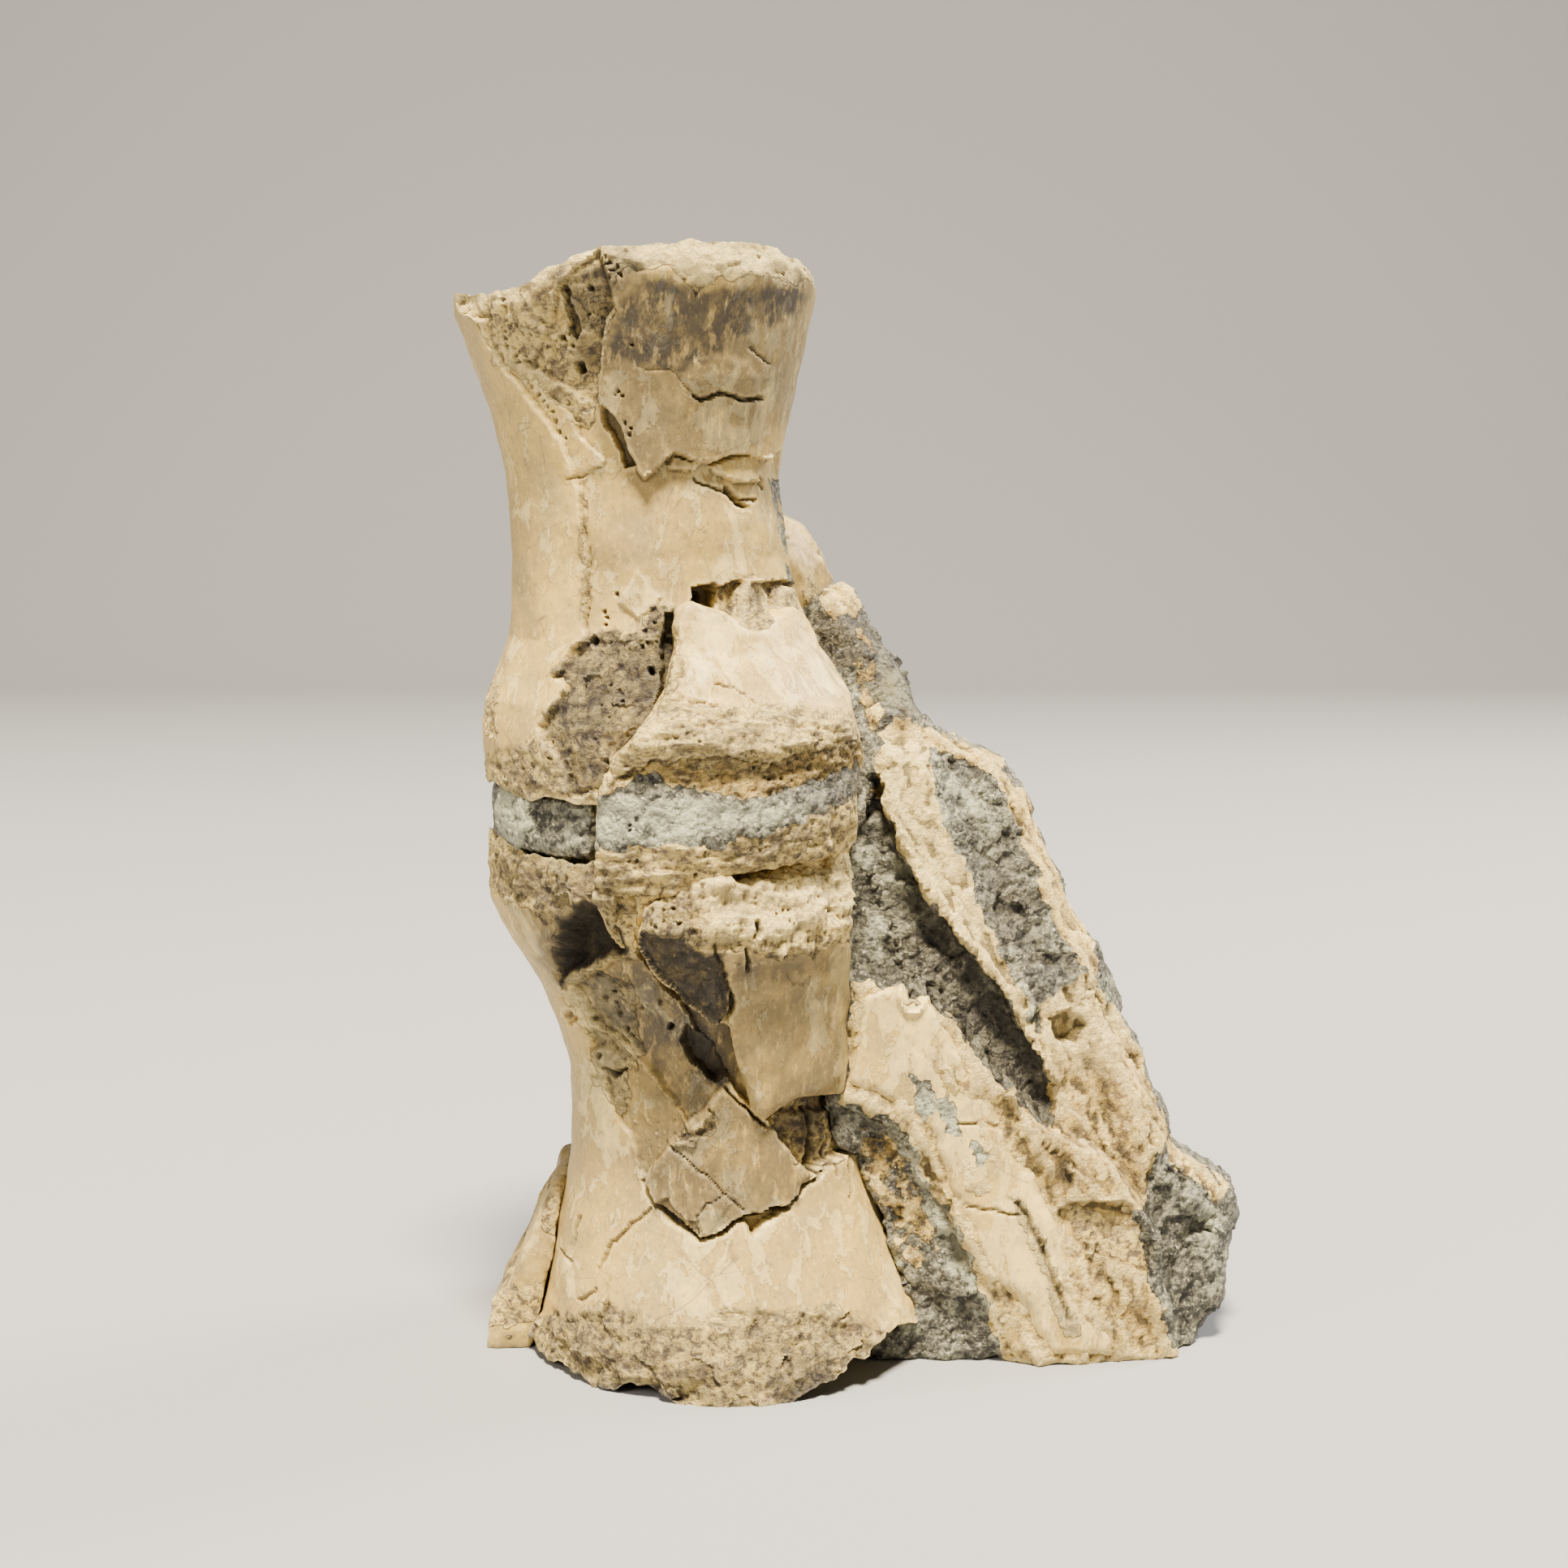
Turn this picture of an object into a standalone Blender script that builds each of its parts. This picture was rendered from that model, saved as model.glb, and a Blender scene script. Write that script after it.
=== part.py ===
"""Ichthyosaur bone fossil: two bones that lie end to end, standing upright in a piece of their rock.

Two spool-shaped bones are joined by the rock that filled the hollow between them. A wedge that broke
across that joint, and a shard below it, sit a little proud of the column. Behind and to the right is
the rock that holds the column, with a sheet of flank bone, a rounded bone end and a thin rib in it. Lengths are in millimetres, turned to metres as each mesh is finished. +Z is up, and the
front, where the broken bone shows, faces -Y.
"""

import math

import bmesh
import bpy
import numpy as np
from mathutils import Vector, noise

MM = 0.001

# Driving dimensions of the column. A side profile is a list of (height, x) from bottom to top.
UPPER_LEFT = [(74, -49.5), (78, -50.1), (83.4, -50.3), (89, -49.7), (93, -48.3), (97.5, -46.8),
              (103, -46.4), (110.5, -46.3), (116, -46.6), (122, -47.6), (128.5, -49), (133, -50.6),
              (137, -52.2), (140.5, -53.5)]
UPPER_RIGHT = [(74, -0.5), (80, -0.3), (85.5, -1.5), (90, -4), (95, -6.5), (99.5, -8.4), (105, -9.8),
               (110.5, -10.4), (116, -10.8), (121.5, -10.2), (126.5, -9), (131.5, -7.8), (137, -6.7),
               (141, -5.9), (143.6, -6.3)]
LOWER_LEFT = [(-2, -44.2), (3, -43.8), (10, -42.6), (17, -41.2), (24, -39.8), (29, -39.2), (35, -39),
              (40.5, -39.4), (45.5, -40.7), (51, -43), (56, -46.1), (59.5, -48.4), (63, -49.7),
              (67.5, -49.8), (72, -49.4)]
LOWER_RIGHT = [(-2, 9.6), (1, 9), (5.5, 6.8), (11, 4.5), (17, 2.2), (22.5, 0.5), (28, -0.6), (35, -1.3),
               (45, -1.6), (54, -1.6), (61.5, -1.8), (66, -1.6), (72, -1.2)]
ROUNDNESS = 0.94  # the column's depth over its width

# Rims, as (x, height) from left to right.
UPPER_TOP_RIM = [(-53.5, 140), (-47, 139.2), (-42, 139.8), (-40, 141.6), (-37, 142.8), (-33, 143.8),
                 (-27, 144.6), (-22, 145), (-17, 144.5), (-11, 144), (-6, 143.2)]
UPPER_BOTTOM_RIM = [(-50, 77), (-43, 76), (-33.5, 75.5), (-27.5, 77.5), (-17, 77), (-7, 78.5), (0, 80)]
LOWER_TOP_RIM = [(-50, 70), (-42, 69.6), (-34, 69), (-22.5, 68), (-12, 69.5), (0, 73)]
LOWER_BOTTOM_RIM = [(-44, 0.8), (-41.5, -0.8), (-28, -1.6), (-18, -1.2), (-11, -0.6), (-6.8, 1.2),
                    (-1.5, 3.2), (3, 5), (9, 5.6)]
DISH_DEPTH = 6.5  # how far the end faces are hollowed
BASE_MIDDLE = (-0.4, 7.4)  # the middle of the whole, seen from above, in these lengths
ROCK_GAP = 0.6  # between an end face and the rock that fills its hollow

# Broken fields on the front, as outlines of (x, height), with how deep the bone is missing there.
WAIST_FIELD = [(-35, 117.5), (-32.5, 122), (-30, 120), (-29.5, 117.5), (-27.5, 116.5), (-24, 118.5),
               (-20.5, 118), (-17, 117.5), (-14, 119), (-4, 119.5), (-4, 101), (-22, 100.5),
               (-23.5, 99), (-35.5, 98.5)]
TOP_SCAR = [(-48, 142), (-42.5, 145.5), (-32.5, 146.5), (-32, 136.5), (-33.5, 125), (-30.5, 122),
            (-30, 117.5), (-35, 116), (-38.5, 121), (-43.5, 127.5), (-48, 135.5), (-49.5, 138.5)]
ROUGH_SCAR = [(-42, 92), (-37.5, 96), (-33.5, 98), (-28, 97.5), (-23, 100), (-14, 97), (-20, 84),
              (-27, 72), (-33.5, 76), (-38.5, 79), (-42, 84.5)]
SHARD_SCAR = [(-34, 54.5), (-28.5, 56), (-16, 52), (-18, 46), (-18.5, 40), (-21.5, 38.5), (-25.5, 36),
              (-28, 31.5), (-32, 37), (-34.5, 43.5), (-38, 48.5), (-39.5, 51.5)]
CAVITY = [(-39.5, 61.5), (-36, 63.5), (-33, 63), (-31.5, 58.5), (-30, 53), (-33.5, 52.5), (-39.5, 51),
          (-40.5, 56.5)]
PLATE_SCAR = [(-14.5, 34), (-12.5, 35), (-11, 38), (-8, 40), (4, 40), (4, 27.5), (-5.5, 27)]
WEDGE_SEAT = [(-24.5, 102), (6, 102), (6, 66), (-17, 64), (-28, 56), (-31, 56), (-34.5, 63), (-34.5, 69),
              (-34, 75.5), (-31.5, 82), (-27.5, 86.5), (-25, 90.5)]
SHARD_SEAT = [(-27, 66), (6, 68), (6, 38), (-8, 39), (-12.5, 37), (-15.5, 42), (-16, 51), (-22, 52),
              (-27, 58)]
WAIST_DEPTH, SCAR_DEPTH, ROUGH_DEPTH, CAVITY_DEPTH = 1.2, 2.0, 3.6, 10.0
SHARD_SCAR_DEPTH, PLATE_SCAR_DEPTH, SEAT_DEPTH = 2.2, 2.2, 5.0

# The wedge and the shard, as outlines of (x, height), with how far they stand proud of the column.
WEDGE_OUTLINE = [(-22, 101), (-20, 100), (-17.5, 99.5), (-16.5, 98.5), (-14.5, 97.5), (-13, 97.5),
                 (-11.5, 98.5), (-9.5, 100), (-7.2, 99.2), (-5, 95.5), (-3.5, 92.5), (-1.5, 89),
                 (-1, 86), (0, 83), (0.5, 81), (0, 79), (-0.5, 74), (-0.6, 70), (-2, 68.6),
                 (-6, 68.4), (-11, 68), (-17, 67.2), (-22, 66), (-26.5, 64.6), (-28, 61.5),
                 (-29.4, 58), (-31, 57.4), (-32.5, 59.5), (-34, 64), (-34, 69), (-33.5, 75.5),
                 (-33, 78.5), (-31, 82), (-27, 86.5), (-24.5, 90.5), (-23.5, 95), (-24, 97.5),
                 (-23, 100)]
WEDGE_PROUD = [(56, 0.5), (61, 0.8), (64, 1.6), (68, 2.4), (73, 3.0), (77, 2.4), (79.5, 1.4), (81, 1.8),
               (83.5, 3.2), (86, 3.0), (90, 1.8), (95, 1.0), (101, 1.2)]
SHARD_OUTLINE = [(-27.2, 63.4), (-22, 65), (-17, 66.2), (-11, 67), (-6, 67.4), (-1.5, 67.4), (-1.5, 61.5),
                 (-1.4, 52), (-1.5, 43), (-1.8, 36.2), (-4.5, 37), (-8, 37.6), (-10.5, 36.6),
                 (-12.5, 34.5), (-14.5, 37), (-16.5, 44), (-17, 49), (-19, 47.5), (-21, 49.5),
                 (-23, 51), (-27, 55), (-28.6, 59)]
SHARD_PROUD = [(35, 1.6), (45, 1.4), (51, 1.6), (55, 2.6), (58, 3.8), (61, 4.0), (64, 2.6), (68, 0.6)]
BLOCK_DEPTH = 24.0  # of the even blocks that the slabs and shells are bent from

# The pieces in the rock: outlines of (x, height), and surfaces as (x, height, y) to pass near.
ROCK_OUTLINE = [(-46, -4), (-46.5, 5), (-44, 12), (-40.5, 20), (-37.5, 32), (-38, 44), (-44, 58),
                (-49.8, 70), (-50, 77), (-46, 90), (-42, 104), (-33, 112), (-14, 113), (-6, 106),
                (-0.4, 100), (2.2, 95.4), (5.2, 90.4), (7.4, 86.4), (7.6, 83.4), (10, 82.2),
                (14.5, 80), (19.6, 77.7), (22.2, 74.4), (23.8, 70.8), (26.8, 63.8), (28.8, 57.3),
                (31.7, 52.9), (34.7, 47.9), (36.2, 42.3), (39.2, 37.7), (40.8, 32.2), (42.8, 27.3),
                (44.8, 23.8), (47.6, 22.3), (51.2, 19.6), (51.6, 17.2), (50.6, 10.5), (49.4, 5),
                (46, 1), (44.4, -4)]
ROCK_FIELDS = [([(-3, 69.5), (-0.5, 72.5), (1.5, 73.5), (3.5, 72), (5, 68.5), (7, 64), (10.5, 58.5),
                 (14.5, 54.5), (19, 49), (22, 44), (25.5, 36.5), (26.5, 33), (25, 30), (22, 32),
                 (18.5, 35.5), (15, 40), (12.5, 44), (9.5, 45.5), (6.5, 49.5), (-3, 52)], 2.2, 2.5),
               ([(-3, 36), (3, 34), (6.5, 28), (9.5, 22.5), (13, 15.5), (16, 9), (20.5, 5), (24.5, -6),
                 (-4, -6)], 1.6, 3.0),
               ([(26.5, 19.5), (33, 21), (39.5, 19.5), (42, 15), (41, 8.5), (35.5, 10.5),
                 (29.5, 13)], 2.0, 3.0)]
ROCK_RIDGES = [([(2.5, 80), (4, 73.5), (7.5, 65.5), (12.5, 58), (20, 49), (23, 42), (26, 37)], 2.0, 2.2),
               ([(20, 36), (23, 29), (26, 22.5), (28.5, 17)], 1.4, 1.8),
               ([(9, 78), (13, 68), (17, 59), (22, 51), (27, 46)], 1.2, 3.0),
               ([(34, 40), (37, 32), (41, 24), (46, 18)], 1.2, 2.5)]
ROCK_FRONT = [(-45, 5, 6), (-45, 50, 8), (-45, 75, 7), (-40, 105, 22), (-20, 112, 28), (-6, 107, 24),
              (0, 98, 16), (4, 90, 9), (8, 82, 6), (20, 76, 7), (-2, 75, 0), (6, 70, -2), (16, 62, 1),
              (27, 60, 6), (0, 55, -6), (12, 50, -6), (24, 48, -2), (34, 46, 5), (2, 38, -7),
              (14, 35, -7), (28, 36, -4), (40, 33, 4), (5, 22, -8), (20, 20, -8), (35, 22, -5),
              (50, 18, 2), (10, 6, -10), (18, 2, -11), (30, 3, -10), (45, 3, -6), (51, 9, 0), (10, -3, -10)]
ROCK_BACK = [(-45, 0, 27), (-46, 40, 26), (-48, 72, 22), (-40, 100, 32), (-20, 110, 37), (-8, 98, 38), (0, 100, 34),
             (8, 84, 24), (20, 77, 20), (28, 60, 20), (36, 45, 20), (44, 25, 19), (51, 15, 13),
             (48, 0, 16), (-20, 0, 38), (10, 0, 36), (-20, 50, 40), (10, 45, 37), (-15, 80, 42),
             (5, 70, 34), (25, 20, 31), (28, 0, 30)]
FLANK_OUTLINE = [(-3, 52), (4, 49.5), (11, 46.5), (15.5, 40.5), (19.5, 36), (25.5, 30.5), (33.5, 25.5),
                 (39, 16.5), (41, 7.5), (42.2, -3), (24.5, -3), (20.5, 5), (15.5, 12), (13, 17.5),
                 (9.5, 26.5), (5, 31.5), (-3, 35.5)]
FLANK_FRONT = [(0, 50, -6.5), (10, 46, -8), (0, 37, -8.5), (8, 32, -9.5), (18, 36, -8), (14, 18, -10.5),
               (25, 30, -7.5), (33, 24, -6.5), (18, 9, -11), (25, 1, -11.5), (30, 12, -9.5),
               (40, 14, -5.5), (41, 2, -8.5)]
FLANK_THICKNESS = 5.0
RIB_OUTLINE = [(-40.5, 21.5), (-41.8, 21.6), (-43.5, 18.5), (-46.4, 11.5), (-49, 7), (-50.6, 2.6),
               (-50.4, -2), (-46, -2), (-42, 5), (-38.5, 13), (-37.5, 20)]
RIB_FRONT_Y, RIB_BACK_Y = -4.5, 22.0
BONE_END_CENTRE, BONE_END_RADII = (-14.0, 29.0, 102.0), (12.5, 11.0, 14.0)

# How finely shapes are worked, and how many triangles each keeps.
AROUND, LEVELS = 150, 116
WALL_SHARE = 0.76  # of each half of a spool's height steps, on its wall; the rest are on its end faces
FINE_VOXEL, COARSE_VOXEL = 0.8, 1.5
FIT_GAP = 0.6
CUT_SHARE = 1.15  # a cut piece keeps this share of its own number of triangles
SPOOL_TRIANGLES, ROCK_TRIANGLES, JOINT_TRIANGLES = 1800, 2400, 420
WEDGE_TRIANGLES, SHARD_TRIANGLES, FLANK_TRIANGLES = 900, 520, 420
RIB_TRIANGLES, BONE_END_TRIANGLES = 160, 240

BONE_COLOUR = (0.56, 0.46, 0.33, 1.0)
ROCK_COLOUR = (0.13, 0.135, 0.13, 1.0)


# Small tools for shapes.

def along(points, at):
    """The value at each place, in straight lines through (place, value) points."""
    places, values = zip(*points)
    return np.interp(at, places, values)


def inside_by(x, z, outline):
    """How far each point is inside the outline, in millimetres, and below 0 outside it."""
    corners = np.array(outline, float)
    nearest = np.full(len(x), np.inf)
    inside = np.zeros(len(x), bool)
    for (ax, az), (bx, bz) in zip(corners, np.roll(corners, -1, axis=0)):
        dx, dz = bx - ax, bz - az
        share = np.clip(((x - ax) * dx + (z - az) * dz) / (dx * dx + dz * dz), 0, 1)
        nearest = np.minimum(nearest, np.hypot(x - ax - share * dx, z - az - share * dz))
        crosses = (az > z) != (bz > z)
        inside ^= crosses & (x < ax + (z - az) * dx / (dz if dz else 1e-9))
    return np.where(inside, nearest, -nearest)


def step(distance, width):
    """0 below 0, 1 past width, and smooth between."""
    share = np.clip(distance / width, 0, 1)
    return share * share * (3 - 2 * share)


def surface_through(x, z, points, reach):
    """A smooth surface's y at each (x, z), near to the points (x, z, y)."""
    px, pz, py = np.array(points, float).T
    away = (x[:, None] - px) ** 2 + (z[:, None] - pz) ** 2
    weight = np.exp(-away / (2 * reach * reach)) + 1e-9 / (1 + away)
    return (weight * py).sum(1) / weight.sum(1)


def roughness(points, size, seed, octaves=4):
    """Noise of about -1 to 1 at each point, in lumps of that size."""
    shift = Vector((seed, seed * 0.7, -seed))
    return np.array([noise.fractal(Vector(p) / size + shift, 0.9, 2.1, octaves) for p in points])


def coordinates(mesh):
    found = np.empty(len(mesh.vertices) * 3, np.float32)
    mesh.vertices.foreach_get("co", found)
    return found.reshape(-1, 3).astype(float)


def set_coordinates(mesh, points):
    mesh.vertices.foreach_set("co", np.asarray(points, np.float32).ravel())
    mesh.update()


def normals(mesh):
    found = np.empty(len(mesh.vertices) * 3, np.float32)
    mesh.vertex_normals.foreach_get("vector", found)
    return found.reshape(-1, 3).astype(float)


def mesh_of(bm, name):
    mesh = bpy.data.meshes.new(name)
    bm.to_mesh(mesh)
    bm.free()
    return mesh


def settle(piece):
    """Applies the object's modifiers to its mesh."""
    bpy.context.view_layer.update()
    graph = bpy.context.evaluated_depsgraph_get()
    settled = bpy.data.meshes.new_from_object(piece.evaluated_get(graph))
    piece.modifiers.clear()
    piece.data = settled


def clean(mesh):
    """Merges what a cut left closer together than a hundredth of a millimetre, and keeps one body."""
    bm = bmesh.new()
    bm.from_mesh(mesh)
    bmesh.ops.dissolve_degenerate(bm, edges=bm.edges, dist=0.01 * MM)
    bmesh.ops.triangulate(bm, faces=bm.faces)
    largest_body(bm)
    bm.to_mesh(mesh)
    bm.free()


def largest_body(bm):
    """Deletes the crumbs that a cut leaves, so that one body stays."""
    left, bodies = set(bm.verts), []
    while left:
        body, edge_of_body = set(), [left.pop()]
        while edge_of_body:
            vert = edge_of_body.pop()
            body.add(vert)
            near = {edge.other_vert(vert) for edge in vert.link_edges} & left
            left -= near
            edge_of_body.extend(near)
        bodies.append(body)
    bodies.sort(key=len)
    crumbs = [vert for body in bodies[:-1] for vert in body]
    bmesh.ops.delete(bm, geom=crumbs, context="VERTS")


# Small tools for pieces.

def material(name, colour, rough):
    made = bpy.data.materials.new(name)
    made.use_nodes = True
    shader = made.node_tree.nodes["Principled BSDF"]
    shader.inputs["Base Color"].default_value = colour
    shader.inputs["Roughness"].default_value = rough
    shader.inputs["Metallic"].default_value = 0.0
    return made


def thin(piece, triangles):
    """Thins the piece's mesh to about that many triangles."""
    piece.data.calc_loop_triangles()
    thinner = piece.modifiers.new("thinner", "DECIMATE")
    thinner.ratio = min(1.0, triangles / len(piece.data.loop_triangles))
    settle(piece)


def fitted(name, mesh, triangles, finish, neighbours):
    """The piece thinned to its triangles, cut flat where it stands, and cut back from its neighbours."""
    piece = bpy.data.objects.new(name, mesh)
    bpy.context.scene.collection.objects.link(piece)
    thin(piece, triangles)
    stand_flat(piece.data)
    set_coordinates(piece.data, coordinates(piece.data) * MM)
    for neighbour in neighbours:
        cut = piece.modifiers.new("clear of " + neighbour.name, "BOOLEAN")
        cut.operation = "DIFFERENCE"
        cut.solver = "EXACT"
        cut.object = clearance_of(neighbour)
    if neighbours:
        settle(piece)
        clean(piece.data)
        thin(piece, triangles * CUT_SHARE)
    clean(piece.data)
    piece.data.materials.clear()
    piece.data.materials.append(finish)
    piece.data.shade_smooth()
    piece.data.set_sharp_from_angle(angle=math.radians(40))
    return piece


def stand_flat(mesh):
    """Cuts off what is below the ground, and closes the cut with a flat face."""
    bm = bmesh.new()
    bm.from_mesh(mesh)
    everything = bm.verts[:] + bm.edges[:] + bm.faces[:]
    cut = bmesh.ops.bisect_plane(bm, geom=everything, plane_co=(0, 0, 0), plane_no=(0, 0, -1),
                                 clear_outer=True, dist=1e-5)
    edges = [item for item in cut["geom_cut"] if isinstance(item, bmesh.types.BMEdge)]
    bmesh.ops.holes_fill(bm, edges=edges)
    bmesh.ops.recalc_face_normals(bm, faces=bm.faces)
    bm.to_mesh(mesh)
    bm.free()


def clearance_of(neighbour):
    """A hidden copy of the neighbour, a little larger, that cuts other pieces back from it."""
    name = neighbour.name + ".clearance"
    if name in bpy.data.objects:
        return bpy.data.objects[name]
    cutter = bpy.data.objects.new(name, neighbour.data.copy())
    bpy.context.scene.collection.objects.link(cutter)
    grown = cutter.modifiers.new("gap", "DISPLACE")
    grown.strength = FIT_GAP * MM
    grown.mid_level = 0.0
    cutter.hide_render = True
    cutter.display_type = "WIRE"
    return cutter


# The column: two spools, and the rock between them.

def column_side(heights, left, right):
    """The column's middle and half width at each height."""
    low, high = along(left, heights), along(right, heights)
    return (low + high) / 2, (high - low) / 2


def missing_bone(x, y, z, fields):
    """How deep the front is broken away at each point of the wall, for (outline, depth, slope) fields."""
    depth = np.zeros(len(x))
    for outline, deepest, slope in fields:
        depth = np.maximum(depth, deepest * step(inside_by(x, z, outline), slope))
    return depth * step(3.0 - y, 3.0)


def turned_solid(ball, middle, half, low, high, wall, face, dish, fields):
    """A sphere's points moved so that its poles are the middles of two dished or domed end faces."""
    turn = np.arctan2(ball[:, 1], ball[:, 0])
    rim_x = middle + half * np.cos(turn)
    rim_y = ROUNDNESS * half * np.sin(turn)
    bottom, top = (rim(rim_x) * face + rim(middle) * (1 - face) for rim in (low, high))
    z = bottom + wall * (top - bottom)
    reach = face * (1 - missing_bone(rim_x, rim_y, z, fields) / half)
    x, y = middle + (rim_x - middle) * reach, rim_y * reach
    return np.column_stack([x, y, z - dish * (1 - face ** 2) * np.sign(ball[:, 2])])


def ball_of(around, levels, wall_share):
    """A sphere's mesh and points, with each point's height share and its nearness to the wall."""
    bm = bmesh.new()
    bmesh.ops.create_uvsphere(bm, u_segments=around, v_segments=levels, radius=1)
    mesh = mesh_of(bm, "ball")
    ball = coordinates(mesh)
    lift = np.arcsin(np.clip(ball[:, 2], -1, 1)) / (math.pi / 2)
    wall = np.clip(lift / wall_share, -1, 1) / 2 + 0.5
    face = np.clip((1 - np.abs(lift)) / (1 - wall_share), 0, 1)
    return mesh, ball, wall, face


def spool(left, right, bottom_rim, top_rim, fields):
    """A spool-shaped bone: a waisted drum with hollowed end faces."""
    mesh, ball, wall, face = ball_of(AROUND, LEVELS, WALL_SHARE)
    heights = np.interp(wall, [0, 1], [left[0][0] + 3, right[-1][0] - 1])
    middle, half = column_side(heights, left, right)
    points = turned_solid(ball, middle, half, lambda x: along(bottom_rim, x),
                          lambda x: along(top_rim, x), wall, face, DISH_DEPTH, fields)
    set_coordinates(mesh, points)
    return mesh


def roughen(mesh, amount, size, seed):
    points = coordinates(mesh)
    raised = amount * roughness(points, size, seed)
    set_coordinates(mesh, points + normals(mesh) * raised[:, None])


def roughen_rims(mesh, heights, amount, seed):
    """Coarser lumps within a few millimetres of the heights of the rims."""
    points = coordinates(mesh)
    near = sum(np.exp(-((points[:, 2] - height) / 4.5) ** 2) for height in heights)
    raised = amount * near * roughness(points, 3.2, seed)
    set_coordinates(mesh, points + normals(mesh) * raised[:, None])


def upper_spool(bone):
    mesh = spool(UPPER_LEFT, UPPER_RIGHT, UPPER_BOTTOM_RIM, UPPER_TOP_RIM,
                 [(WAIST_FIELD, WAIST_DEPTH, 1.0), (TOP_SCAR, SCAR_DEPTH, 2.5),
                  (ROUGH_SCAR, ROUGH_DEPTH, 3.0), (WEDGE_SEAT, SEAT_DEPTH, 2.0)])
    roughen(mesh, 0.35, 9.0, 3.0)
    roughen_rims(mesh, (78, 86, 143), 0.7, 11.0)
    return fitted("upper_bone", mesh, SPOOL_TRIANGLES, bone, [])


def lower_spool(bone):
    mesh = spool(LOWER_LEFT, LOWER_RIGHT, LOWER_BOTTOM_RIM, LOWER_TOP_RIM,
                 [(SHARD_SCAR, SHARD_SCAR_DEPTH, 1.5), (CAVITY, CAVITY_DEPTH, 3.5),
                  (PLATE_SCAR, PLATE_SCAR_DEPTH, 1.0), (WEDGE_SEAT, SEAT_DEPTH, 2.0),
                  (SHARD_SEAT, SEAT_DEPTH, 2.0)])
    roughen(mesh, 0.35, 9.0, 5.0)
    roughen_rims(mesh, (4, 62, 68), 0.7, 17.0)
    return fitted("lower_bone", mesh, SPOOL_TRIANGLES, bone, [])


def joint_rock(rock, neighbours):
    """The rock that filled the two hollow end faces, with its edge showing as a band."""
    mesh, ball, wall, face = ball_of(72, 40, 0.3)
    middle, half = column_side(np.full(len(wall), 72.0), LOWER_LEFT, LOWER_RIGHT)
    points = turned_solid(ball, middle, half - 1.2, lambda x: along(LOWER_TOP_RIM, x) + ROCK_GAP,
                          lambda x: along(UPPER_BOTTOM_RIM, x) - ROCK_GAP, wall, face,
                          ROCK_GAP - DISH_DEPTH, [(WEDGE_SEAT, SEAT_DEPTH, 2.0)])
    set_coordinates(mesh, points)
    return fitted("joint_rock", mesh, JOINT_TRIANGLES, rock, neighbours)


# Pieces that are slabs with a broken outline.

def block(outline, voxel):
    """The outline given thickness, in even small faces: its points, with each one's depth share."""
    bm = bmesh.new()
    corners = [bm.verts.new((x, 0, z)) for x, z in outline]
    face = bm.faces.new(corners)
    made = bmesh.ops.extrude_face_region(bm, geom=[face])
    moved = [item for item in made["geom"] if isinstance(item, bmesh.types.BMVert)]
    bmesh.ops.translate(bm, verts=moved, vec=(0, BLOCK_DEPTH, 0))
    bmesh.ops.recalc_face_normals(bm, faces=bm.faces)
    piece = bpy.data.objects.new("block", mesh_of(bm, "block"))
    bpy.context.scene.collection.objects.link(piece)
    even = piece.modifiers.new("even", "REMESH")
    even.mode = "VOXEL"
    even.voxel_size = voxel
    settle(piece)
    mesh = piece.data
    bpy.data.objects.remove(piece)
    x, y, z = coordinates(mesh).T
    return mesh, x, z, np.clip(y / BLOCK_DEPTH, 0, 1)


def edge_rounding(x, z, outline, rounding):
    """How far a block's faces draw in near its outline."""
    return 0.5 * rounding * np.clip(1 - inside_by(x, z, outline) / rounding, 0, 1) ** 2


def slab(outline, front, back, voxel, rounding):
    """An outline given thickness, from the surface front(x, z) to back(x, z)."""
    mesh, x, z, share = block(outline, voxel)
    drawn_in = edge_rounding(x, z, outline, rounding)
    near, far = front(x, z) + drawn_in, back(x, z) - drawn_in
    set_coordinates(mesh, np.column_stack([x, near + (far - near) * share, z]))
    return mesh


def shell(outline, left, right, proud):
    """An outline bent round the front of the column, standing proud of it by proud at each height."""
    mesh, x, z, share = block(outline, FINE_VOXEL)
    middle, half = column_side(z, left, right)
    outer = half + along(proud, z)
    turn = np.arcsin(np.clip((x - middle) / outer, -0.99, 0.99))
    outer -= edge_rounding(x, z, outline, 1.2)
    reach = outer + (half - SEAT_DEPTH - 1.0 - outer) * share
    x, y = middle + reach * np.sin(turn), -ROUNDNESS * reach * np.cos(turn)
    set_coordinates(mesh, np.column_stack([x, y, z]))
    return mesh


def front_wedge(bone, neighbours):
    mesh = shell(WEDGE_OUTLINE, LOWER_LEFT[:-1] + UPPER_LEFT, LOWER_RIGHT[:-1] + UPPER_RIGHT,
                 WEDGE_PROUD)
    roughen(mesh, 0.35, 3.0, 23.0)
    return fitted("front_wedge", mesh, WEDGE_TRIANGLES, bone, neighbours)


def lower_shard(bone, neighbours):
    mesh = shell(SHARD_OUTLINE, LOWER_LEFT, LOWER_RIGHT, SHARD_PROUD)
    roughen(mesh, 0.3, 3.0, 29.0)
    return fitted("lower_shard", mesh, SHARD_TRIANGLES, bone, neighbours)


def flank_bone(bone, neighbours):
    def front(x, z):
        return surface_through(x, z, FLANK_FRONT, 8.0)

    def back(x, z):
        return front(x, z) + FLANK_THICKNESS

    mesh = slab(FLANK_OUTLINE, front, back, FINE_VOXEL, 1.0)
    roughen(mesh, 0.3, 6.0, 31.0)
    return fitted("flank_bone", mesh, FLANK_TRIANGLES, bone, neighbours)


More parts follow.
